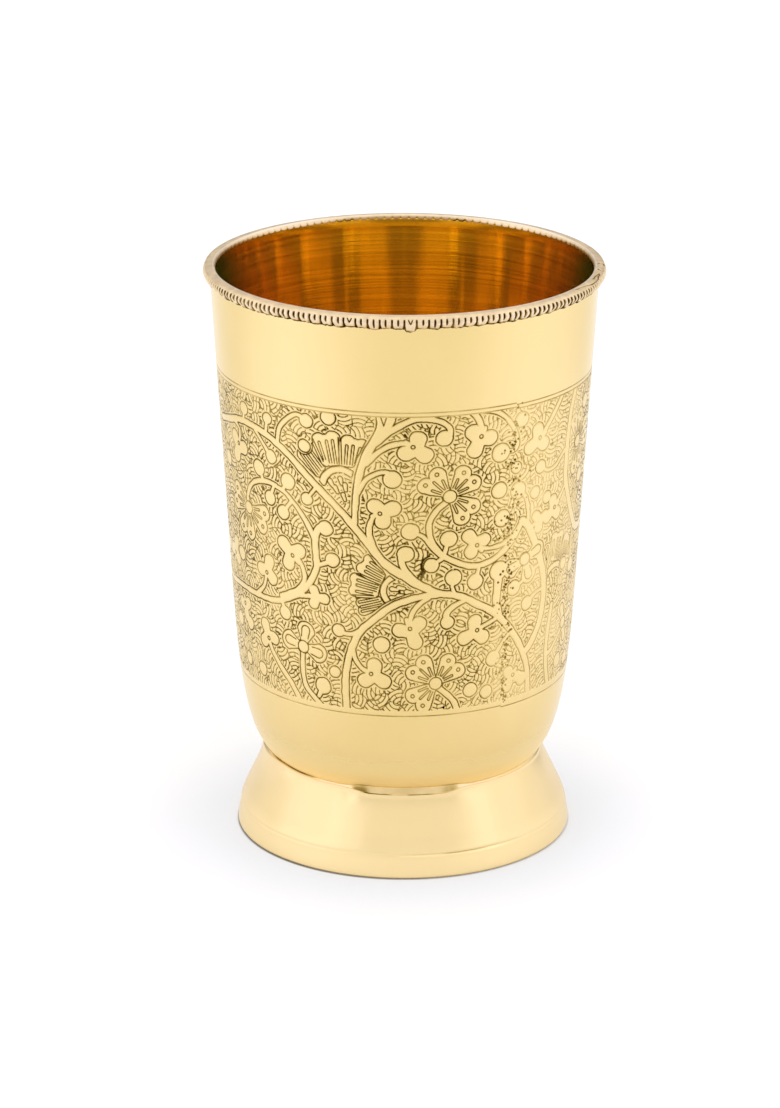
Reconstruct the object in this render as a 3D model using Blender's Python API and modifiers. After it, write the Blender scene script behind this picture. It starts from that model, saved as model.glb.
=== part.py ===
"""Spun brass tumbler on a flared foot, with a milled wire round its rim.

Four pieces, as they would come apart on a bench: the spun bowl, the milled rim
wire bent round its lip, the spun foot and the ring of solder that holds the foot.
Metres, +Z up, with the origin at the middle of the foot's resting face.
"""

import math

import bmesh
import bpy

MM = 0.001

# The whole tumbler
HEIGHT = 115 * MM
LIP_RADIUS = 37.4 * MM
SHEET = 0.8 * MM
CLEARANCE = 0.3 * MM
TURN_STEPS = 72

# Bowl: a straight taper down to the belly, then a round turn in to a shallow bottom
BELLY_TOP = (33.6 * MM, 50 * MM)
BELLY_REACH = 20.5 * MM
SEAT = (27.9 * MM, 17.5 * MM)
SEAT_SLOPE = math.radians(48)
SEAT_REACH = 4.6 * MM
SEAT_GAP = CLEARANCE / math.cos(SEAT_SLOPE)
BOTTOM_HEIGHT = 13 * MM
BELLY_POINTS = 9
BOTTOM_POINTS = 6
LIP_POINTS = 5

# Foot: a flared skirt, a turned line, and a base band that is hemmed inwards
FOOT_TOP_RADIUS = 27.9 * MM
FOOT_TOP_PULL = (28.3 * MM, 12.6 * MM)
CREASE_PULL = (30.8 * MM, 9.4 * MM)
CREASE = (32.4 * MM, 5.0 * MM)
CREASE_DEPTH = 0.25 * MM
FOOT_RADIUS = 33.25 * MM
FOOT_EDGE_ROUND = 0.6 * MM
FOOT_EDGE_POINTS = 4
HEM_WIDTH = 2.0 * MM
HEM_HEIGHT = 1.3 * MM
FLARE_POINTS = 7

# Solder fillet in the corner between the bowl and the inside of the foot
SOLDER_LEG = 1.6 * MM

# Rim wire: half round, with split lobes milled down its outer side
WIRE_RADIUS = 38.9 * MM
WIRE_TOP = 114.9 * MM
WIRE_HEIGHT = 2.5 * MM
WIRE_ROUNDING = 0.75 * MM
WIRE_FLAT_TOP = 0.8 * MM
WIRE_FLAT_TOE = 0.6 * MM
LOBES = 106
STEPS_PER_LOBE = 4
GROOVE_DEPTH = 0.5 * MM
SPLIT_DEPTH = 0.25 * MM
TOE_LIFT = 0.45 * MM
WIRE_JOINT_AZIMUTH = math.radians(-20)

MERGE_DISTANCE = 0.01 * MM
SMOOTH_ANGLE = math.radians(35)

# Colours, and how rough each finish is
ENGRAVED_BRASS = ((0.86, 0.65, 0.26), 0.22)
MILLED_BRASS = ((0.84, 0.66, 0.34), 0.28)
POLISHED_BRASS = ((0.88, 0.68, 0.30), 0.16)
SOFT_SOLDER = ((0.62, 0.58, 0.46), 0.45)


def along(point, angle, distance):
    """The point at a distance from another, at an angle from +X in the profile's plane."""
    return (point[0] + distance * math.cos(angle), point[1] + distance * math.sin(angle))


def bezier(start, pull_start, pull_end, end, count):
    """Points along a cubic curve, both ends included."""
    points = []
    for index in range(count):
        t = index / (count - 1)
        weights = ((1 - t) ** 3, 3 * t * (1 - t) ** 2, 3 * t * t * (1 - t), t ** 3)
        corners = (start, pull_start, pull_end, end)
        points.append(tuple(sum(w * c[axis] for w, c in zip(weights, corners)) for axis in (0, 1)))
    return points


def arc(centre, radius, start, end, count):
    """Points along a round stretch, both ends included."""
    angles = (start + (end - start) * index / (count - 1) for index in range(count))
    return [along(centre, angle, radius) for angle in angles]


def offset_inside(points, distance):
    """The outline moved towards the axis side of its own direction, for a sheet's inner face."""
    moved = []
    for index, (radius, height) in enumerate(points):
        before = points[max(index - 1, 0)]
        after = points[min(index + 1, len(points) - 1)]
        direction = math.atan2(after[1] - before[1], after[0] - before[0])
        inner = along((radius, height), direction - math.pi / 2, distance)
        moved.append((max(inner[0], 0), inner[1]))
    return moved


def bowl_outline():
    """The bowl's outer face, from just under the lip to the middle of its bottom."""
    lip = (LIP_RADIUS, HEIGHT - SHEET / 2)
    taper = math.atan2(BELLY_TOP[1] - lip[1], BELLY_TOP[0] - lip[0])
    turned_in = math.pi + SEAT_SLOPE
    belly = bezier(
        BELLY_TOP,
        along(BELLY_TOP, taper, BELLY_REACH),
        along(SEAT, turned_in, -SEAT_REACH),
        SEAT,
        BELLY_POINTS,
    )
    middle = (0, BOTTOM_HEIGHT)
    bottom = bezier(
        SEAT,
        along(SEAT, turned_in, SEAT_REACH),
        (SEAT[0] / 2, BOTTOM_HEIGHT),
        middle,
        BOTTOM_POINTS,
    )
    return [lip] + belly + bottom[1:]


def bowl_height_at(radius):
    """Height of the bowl's underside at a radius inside the seat."""
    outline = bowl_outline()
    for upper, lower in zip(outline, outline[1:]):
        if lower[0] <= radius <= upper[0]:
            share = (radius - lower[0]) / (upper[0] - lower[0])
            return lower[1] + share * (upper[1] - lower[1])
    return BOTTOM_HEIGHT


def add_object(name, mesh, collection, material):
    obj = bpy.data.objects.new(name, mesh)
    collection.objects.link(obj)
    mesh.materials.append(material)
    return obj


def add_turned(name, points, closed, collection, material, steps=TURN_STEPS, sweep=math.tau):
    """A profile at +X, running down its outer side, turned round the Z axis."""
    count = len(points)
    edges = [(index, index + 1) for index in range(count - 1)]
    if closed:
        edges.append((count - 1, 0))
    mesh = bpy.data.meshes.new(name)
    mesh.from_pydata([(radius, 0, height) for radius, height in points], edges, [])
    obj = add_object(name, mesh, collection, material)
    screw = obj.modifiers.new("turn", "SCREW")
    screw.axis = "Z"
    screw.angle = sweep
    screw.steps = steps
    screw.render_steps = steps
    screw.use_merge_vertices = True
    screw.merge_threshold = MERGE_DISTANCE
    screw.use_smooth_shade = True
    return obj


def add_bowl(collection, material):
    """Spun bowl: one sheet, rounded over at the lip."""
    outer = bowl_outline()
    inner = offset_inside(outer, SHEET)
    lip_centre = (LIP_RADIUS - SHEET / 2, HEIGHT - SHEET / 2)
    lip = arc(lip_centre, SHEET / 2, math.pi, 0, LIP_POINTS)
    profile = inner[:0:-1] + lip + outer[1:]
    return add_turned("body_shell", profile, False, collection, material)


def add_foot(collection, material):
    """Spun foot: bevelled to sit under the bowl, flared, creased and hemmed at the bottom."""
    top = (FOOT_TOP_RADIUS, bowl_height_at(FOOT_TOP_RADIUS) - SEAT_GAP)
    flare = bezier(top, FOOT_TOP_PULL, CREASE_PULL, CREASE, FLARE_POINTS)
    crease_bottom = (CREASE[0] - CREASE_DEPTH, CREASE[1] - CREASE_DEPTH)
    band_top = (CREASE[0], CREASE[1] - 2 * CREASE_DEPTH)
    edge_centre = (FOOT_RADIUS - FOOT_EDGE_ROUND, FOOT_EDGE_ROUND)
    edge = arc(edge_centre, FOOT_EDGE_ROUND, 0, -math.pi / 2, FOOT_EDGE_POINTS)
    hem_inside = FOOT_RADIUS - HEM_WIDTH
    hem = [(hem_inside, 0), (hem_inside, HEM_HEIGHT), (band_top[0] - SHEET, HEM_HEIGHT)]
    inside = offset_inside(flare, SHEET)
    bevel_radius = FOOT_TOP_RADIUS - SHEET
    inside[0] = (bevel_radius, bowl_height_at(bevel_radius) - SEAT_GAP)
    profile = flare + [crease_bottom, band_top] + edge + hem + inside[::-1]
    return add_turned("foot_skirt", profile, True, collection, material)


def add_solder(collection, material):
    """Triangular fillet of solder, under the bowl and against the inside of the foot."""
    outer_radius = FOOT_TOP_RADIUS - SHEET - CLEARANCE
    inner_radius = outer_radius - SOLDER_LEG
    outer_top = bowl_height_at(outer_radius) - SEAT_GAP
    inner_top = bowl_height_at(inner_radius) - SEAT_GAP
    profile = [
        (outer_radius, outer_top),
        (outer_radius, outer_top - SOLDER_LEG),
        (inner_radius, inner_top - CLEARANCE),
        (inner_radius, inner_top),
    ]
    return add_turned("foot_solder_ring", profile, True, collection, material)


def groove_depth_at(lobe_share):
    """Depth milled at a place along a lobe: a deep groove at its ends, a split in its middle."""
    from_end = min(lobe_share, 1 - lobe_share)
    from_middle = abs(lobe_share - 0.5)
    groove = GROOVE_DEPTH * max(0, 1 - STEPS_PER_LOBE * from_end)
    split = SPLIT_DEPTH * max(0, 1 - STEPS_PER_LOBE * from_middle)
    return groove + split


def add_rim_wire(collection, material):
    """Milled half-round wire, bent round the lip until its two ends meet."""
    back = LIP_RADIUS + CLEARANCE
    foot = WIRE_TOP - WIRE_HEIGHT
    shoulder = (back + WIRE_FLAT_TOP, WIRE_TOP)
    crown_top = (WIRE_RADIUS, WIRE_TOP - WIRE_ROUNDING)
    crown_low = (WIRE_RADIUS, foot + WIRE_ROUNDING)
    toe = (back + WIRE_FLAT_TOE, foot)
    section = [(back, WIRE_TOP), shoulder, crown_top, crown_low, toe, (back, foot)]
    sweep = math.tau - CLEARANCE / WIRE_RADIUS
    steps = LOBES * STEPS_PER_LOBE
    plain = add_turned("plain_wire", section, True, collection, material, steps, sweep)

    graph = bpy.context.evaluated_depsgraph_get()
    wire = bmesh.new()
    wire.from_object(plain, graph)
    for vert in wire.verts:
        radius = math.hypot(vert.co.x, vert.co.y)
        if radius < toe[0] - MERGE_DISTANCE or vert.co.z > WIRE_TOP - MERGE_DISTANCE:
            continue
        turned = math.atan2(vert.co.y, vert.co.x) % math.tau
        depth = groove_depth_at(turned / sweep * LOBES % 1)
        narrowed = (radius - depth) / radius
        vert.co.x *= narrowed
        vert.co.y *= narrowed
        if vert.co.z < foot + MERGE_DISTANCE:
            vert.co.z += TOE_LIFT * depth / GROOVE_DEPTH
    cut_ends = [edge for edge in wire.edges if edge.is_boundary]
    bmesh.ops.holes_fill(wire, edges=cut_ends)
    bmesh.ops.recalc_face_normals(wire, faces=wire.faces)

    mesh = bpy.data.meshes.new("rim_wire")
    wire.to_mesh(mesh)
    wire.free()
    bpy.data.objects.remove(plain)
    mesh.shade_smooth()
    mesh.set_sharp_from_angle(angle=SMOOTH_ANGLE)
    rim = add_object("rim_wire", mesh, collection, material)
    rim.rotation_euler.z = WIRE_JOINT_AZIMUTH + CLEARANCE / WIRE_RADIUS / 2
    return rim


def metal(name, colour, roughness):
    material = bpy.data.materials.new(name)
    material.use_nodes = True
    shader = material.node_tree.nodes["Principled BSDF"]
    shader.inputs["Base Color"].default_value = (*colour, 1)
    shader.inputs["Metallic"].default_value = 1
    shader.inputs["Roughness"].default_value = roughness
    return material


def main():
    for obj in list(bpy.data.objects):
        bpy.data.objects.remove(obj)
    tumbler = bpy.data.collections.new("brass_tumbler")
    bpy.context.scene.collection.children.link(tumbler)
    add_bowl(tumbler, metal("engraved_brass", *ENGRAVED_BRASS))
    add_rim_wire(tumbler, metal("milled_brass", *MILLED_BRASS))
    add_foot(tumbler, metal("polished_brass", *POLISHED_BRASS))
    add_solder(tumbler, metal("soft_solder", *SOFT_SOLDER))


main()
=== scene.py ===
"""Looks of the brass tumbler: engraved bowl, milled rim wire, spun foot, soft studio light.

Lengths are in millimetres until a mesh is made. A place on the engraved band is given
as degrees round from the front, growing to the right, and millimetres above the table.
"""

import math

import bpy
import numpy as np
from mathutils import Matrix, Vector

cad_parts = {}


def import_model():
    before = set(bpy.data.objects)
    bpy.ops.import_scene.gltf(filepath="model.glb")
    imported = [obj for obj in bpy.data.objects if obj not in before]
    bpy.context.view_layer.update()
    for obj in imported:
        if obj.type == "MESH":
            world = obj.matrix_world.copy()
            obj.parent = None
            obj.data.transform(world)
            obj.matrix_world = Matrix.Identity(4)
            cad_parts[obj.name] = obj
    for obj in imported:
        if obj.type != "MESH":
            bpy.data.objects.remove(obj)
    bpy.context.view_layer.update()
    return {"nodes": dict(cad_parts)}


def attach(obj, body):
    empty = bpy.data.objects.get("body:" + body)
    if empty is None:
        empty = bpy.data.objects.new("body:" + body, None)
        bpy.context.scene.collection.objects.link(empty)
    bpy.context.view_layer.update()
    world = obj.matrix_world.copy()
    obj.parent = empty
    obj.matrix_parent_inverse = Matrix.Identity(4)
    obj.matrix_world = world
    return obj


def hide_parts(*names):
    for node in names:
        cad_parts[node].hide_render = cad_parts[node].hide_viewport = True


MM = 0.001
TINY = 1e-9
FAR = 9.0
ON_AXIS = 0.001
ENGRAVING_SEED = 7
SEAM_SEED = 11
RIM_SEED = 5

# Bowl and foot: the solids' sizes, moved by up to 0.8 mm to the photographed outline
HEIGHT = 115.0
LIP_RADIUS = 37.68
LIP_TOP = HEIGHT - 0.25
SHEET = 0.8
BELLY_TOP = (33.8, 50.0)
BELLY_REACH = 20.5
SEAT = (27.2, 16.72)
SEAT_SLOPE = math.radians(48)
BELLY_END_REACH = 5.65
SEAT_REACH = 3.6
BOTTOM_HEIGHT = 13.0
OUTLINE_POINTS = 220
# Steps between plain rings on the bowl's inside, above the band and below it
INSIDE_STEP = 2.0
ABOVE_STEP = 1.2
BELOW_STEP = 1.1
FOOT_TOP = (28.0, 16.6)
FOOT_TOP_PULL = (28.3, 12.6)
CREASE_PULL = (30.8, 9.4)
CREASE = (32.4, 5.0)
BASE_TOP = (32.52, 4.4)
BASE_PULLS = ((32.7, 3.0), (33.05, 1.6))
FOOT_RADIUS = 33.1
FOOT_EDGE_ROUND = 0.6
FOOT_COLUMNS = 480
HEM_WIDTH = 2.0
HEM_HEIGHT = 1.3
HEM_BEVEL = 0.2

# Height from which the foot follows its uneven seat, and how far above that it follows it in full
SINK_START = 11.0
SINK_RUN = 5.0
FLARE_INWARD = 1.2
LINING_INWARD = 0.48
# Stretches round the foot: strength, then the degrees where it starts, is full, fades and ends
SEAT_DIP = ((1.2, -27, -13, 15, 30),)
SEAT_SUNK = ((0.58, -64, -48, -24, -17), (0.58, 20, 32, 150, 175))
SEAT_OPEN = ((1.0, -27, -20, 22, 30),)
# Where the seat gapes at the left: its edge is lower there and darkened with painted shade
SEAT_GAP = ((1.0, -74, -64, -44, -37),)
COLLAR_TONE = ((0.22, -20, -15, 17, 22),)
SEAT_DIRT = ((0.95, -17, -15, -7, -3), (0.8, 1, 3, 10, 15))
# Painted shade on the edge beside the front joint, and painted highlights on the foot's top edge
SEAT_SHADE = ((0.6, -24, -19, -17, -10), (0.5, 12, 18, 20, 26))
SEAT_LIGHT = ((0.5, -40, -34, -26, -20), (0.5, 21, 27, 40, 50))
CREASE_DEEP = ((0.8, -8, 8, 30, 48),)
CREASE_DIRT = ((0.38, 10, 18, 26, 34),)
CREASE_SHALLOW = 0.2
# Rings in the crease: share of the way down to the base, depth in mm, dirt
CREASE_RINGS = ((0.2, 0.12, 0.5), (0.42, 0.2, 1.0), (0.7, 0.13, 0.3))
# Rings over the foot's top edge, from its inside out: mm in from the edge and above it, mm lower where
# the seat is closed and in the gap, shares of the dip and of the inward sinking, then the strength of
# the marks: collar tone, painted shade, painted shade in the gap, dirt and painted highlight
SEAT_RINGS = (
    (0.72, 0.30, 0.00, 0.10, 0.0, 1.00, 0, 0.0, 0.0, 0, 0.0),
    (0.52, 0.46, 0.00, 0.15, 0.0, 1.05, 0, 1.0, 0.6, 0, 0.0),
    (0.36, 0.38, 0.08, 0.15, 0.0, 1.15, 1, 0.6, 0.5, 0, 0.0),
    (0.28, 0.26, 0.03, 0.10, 0.3, 1.20, 1, 0.8, 0.2, 0, 1.0),
    (0.20, 0.20, 0.04, 0.00, 0.9, 1.22, 1, 1.0, 0.0, 0, 1.0),
    (0.17, 0.12, -0.01, 0.00, 1.0, 1.25, 0, 0.0, 0.0, 1, 1.0),
    (0.11, 0.15, 0.07, 0.00, 1.0, 1.25, 0, 0.0, 0.0, 1, 1.0),
    (0.03, 0.10, 0.08, 0.00, 1.0, 1.25, 0, 0.0, 0.0, 0, 0.5),
)

# Rim wire, in mm, or as shares of a lobe's width and of the wire's height
WIRE_RADIUS = 38.95
WIRE_HEIGHT = 2.55
WIRE_SHOULDER = 0.34
WIRE_BACK = LIP_RADIUS - 0.02
WIRE_ROWS = 19
WIRE_MM_PER_DEGREE = WIRE_RADIUS * math.pi / 180
LOBES = 106
POINTS_PER_LOBE = 28
# Lobes that were never split, and how far below the others the first one hangs
PLAIN_LOBES = (0, 101)
LONG_TOE = 0.5
TOE_UNEVEN = 0.1
TOE_RAGGED = 0.09
SPLIT_SHIFT = 0.05
SPLIT_ENDS = (0.62, 0.9)
GROOVE_DEPTH = 0.42
SWELL_DEPTH = 0.14
INNER_TEETH = 140
TOOTH_HALF = 0.28
TOOTH_LIFT = 0.3
FLANGE_HEIGHT = 1.0
FLANGE_REACH = 0.50
FLANGE_UPRIGHT = 0.22
# Rings over the flange: mm inside the bowl's wall, mm below the top, strength of the ticks, strength of the
# painted highlight
FLANGE_RINGS = ((0.34, 0.42, 0.6, 0.3), (0.2, 0.18, 0, 0.6), (0.06, 0.03, 0, 1), (-0.12, 0, 0, 1),
                (-0.3, 0, 0, 0))
# Stretches round the rim: at the back, where the flange stands off the wall with a dark edge and where it
# is steep, then, in degrees from the front on either side, where it is steep and where the lobes get painted
# shade in wider dark lines and a stronger painted highlight
FLANGE_OPEN = ((0.9, 159, 161, 164, 166), (0.9, 195, 197, 201, 203))
UPRIGHT_BACK = ((1.0, 145, 165, 195, 215),)
UPRIGHT_SIDES = ((0.8, 35, 65, 110, 135),)
SIDE_SHADING = ((0.4, 15, 45, 62, 76),)
# Down the outer side, in mm or as shares of its height or of a lobe's width: the round of the shoulder
# and of the toes, the grooves between lobes, the splits in them, and the notch at the top of a plain lobe
SHOULDER_IN = 0.36
SHOULDER_END = 0.45
TOE_IN = 0.95
TOE_START = 0.35
TOE_CORNER = 0.14
MILLING_START = 0.05
MILLING_FADE = 0.08
GROOVE_HALF = 0.064
GROOVE_FLARE = 0.11
SLIT_HALF = 0.036
SLIT_SWELL = 0.034
SWELL_HALF = 0.25
NOTCH_SPREAD = 0.22
NOTCH_END = 0.45
NOTCH_HALF = 0.05
# How much wider the cuts are at the sides, and how far they reach in half widths
SIDE_SPREAD = 0.9
LINE_REACH = 1.5
# Darkening under the toes: where it starts and how soon it is full, its least and its uneven strength
UNDER_START = 0.78
UNDER_FADE = 0.10
UNDER_DARK = (0.2, 0.9)
# Painted highlight on the uncut lobes, and what it gains at the sides
LOBE_HIGHLIGHT = (0.2, 0.25)
# The flat top, as mm out from the lip, with its drop below the full height and where that grows, then
# the joint's cracks in it, as degrees round and mm out
WIRE_TOP = (-0.25, 0.90)
CROWN = (0.05, 0.20)
CROWN_START = -0.1
CROWN_RUN = 1.1
CRACK_HALF = 0.16
CRACK_DEPTH = 0.2
CRACKS = (
    ((89.0, -0.5), (90.7, 0.0), (90.2, 0.65), (87.8, 0.9)),
    ((84.5, -0.5), (82.9, -0.1), (81.9, 0.5), (83.1, 1.0)),
    ((79.1, 0.2), (78.1, 0.5), (75.9, 0.45), (73.0, 0.95), (69.4, 0.9), (66.9, 0.7), (64.9, 0.25),
     (62.1, -0.1), (59.6, -0.15)),
    ((72.2, 0.0), (76.2, -0.05), (78.5, 0.2)),
)

# Camera, solved from the photograph's ellipses, for a picture of 780 by 1108
CAMERA_PLACE = (0.0, -828.2, 340.9)
CAMERA_PITCH = math.radians(19.014)
CAMERA_YAW = math.radians(-0.189)
CAMERA_ROLL = math.radians(0.08)
CAMERA_LENS = 144.3
SENSOR = 36.0

# Engraved band. The front cell is drawn, and mirrored at its two ends to go on round to the seams
BAND_LOW = 33.0
BAND_HIGH = 96.4
BAND_MARGIN = 0.5
BORDER_LINES = (33.7, 95.05, 95.85)
BORDER_HALF = 0.19
# Past the front seam the border lines sit lower: half the stretch in degrees, mm
BORDER_SLIP = (25, -0.3)
PATTERN_LOW = 34.8
PATTERN_HIGH = 94.9
BAND_RADIUS = 34.4
FINE_COLUMNS = 1500
COARSE_COLUMNS = 300
ROW_STEP = 0.145
CELL_HALF = 78.0
CELL_COLUMNS = round(CELL_HALF * FINE_COLUMNS / 360)
SEAMS = (35.5, 215.5)
SEAM_SPECKS = 330
SPECK_SPREADS = (2.0, 0.5)
SPECK_SIZES = (0.12, 0.31)
# Sway of a seam up the band, as sine waves: degrees, rate, start
SEAM_DRIFT = ((0.9, 0.42, 0), (0.5, 1.15, 1))
# Worn stretch round each seam: where it begins before the seam, its run in degrees, share of dirt lost
WORN_BEFORE = 14
WORN_RUN = (2, 13, 42, 56)
WORN_AWAY = 0.45

MM_PER_DEGREE = BAND_RADIUS * math.pi / 180
# The places below were read off the photograph as degrees, a little too wide for this radius
FRONT_SQUEEZE = 0.988
STROKE_MARGIN = 2.4
STEM_STEP = 0.5
STAIN_STEP = 0.3

# Cuts: half width of the groove, half width of the dirt in it, depth, all in mm, and darkness
OUTLINE_CUT = (0.34, 0.205, 0.110, 1.0)
FAN_CUT = (0.30, 0.195, 0.100, 1.0)
LINE_CUT = (0.24, 0.18, 0.085, 1.0)
ARC_CUT = (0.24, 0.145, 0.080, 1.0)
WALL_CUT = (0.20, 0.135, 0.050, 0.80)
BAR_CUT = (0.20, 0.135, 0.060, 0.85)
BORDER_CUT = (0.06, 0.75)
SPECK_CUT = (0.06, 0.95)
CUT_ROUND = 1.5
DIRT_ROUND = 2.2
# A mesh point nearer to a cut's middle than this share of a column moves onto it
SNAP = 0.55

# The ground between the motifs: patches round scattered seeds, each filled with arcs and some bars
SEED_TRIES = 26000
SEED_SPACING = 2.0
SEED_REACH = 3.0
ARC_PITCH = 0.84
ARC_LEAN = 2.2
BAR_STEP = 1.5
WITHOUT_BARS = 0.7
FOLLOWS_EDGE = 2.0
HEADING_SPREAD = 0.3
SWAY_SPACING = 6.0
# In mm: how far outside a figure its inner lines still show, where the ground starts and how soon it is
# full, the soft edge of a stain, and how soon a stain is full outside a figure
INSIDE_LINES = 0.25
FAN_LINES = 0.1
GROUND_START = 0.28
GROUND_FADE = 0.12
STAIN_FADE = 0.14
STAIN_CLEAR = 0.08
# Uneven outlines, and cuts in the ground that thicken near figures and drift: mm or share, then reach in mm
WOBBLE = (0.16, 1.1)
THICKER_NEAR = (0.38, 1.5)
THICKNESS_DRIFT = (0.5, 5.0)

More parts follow.
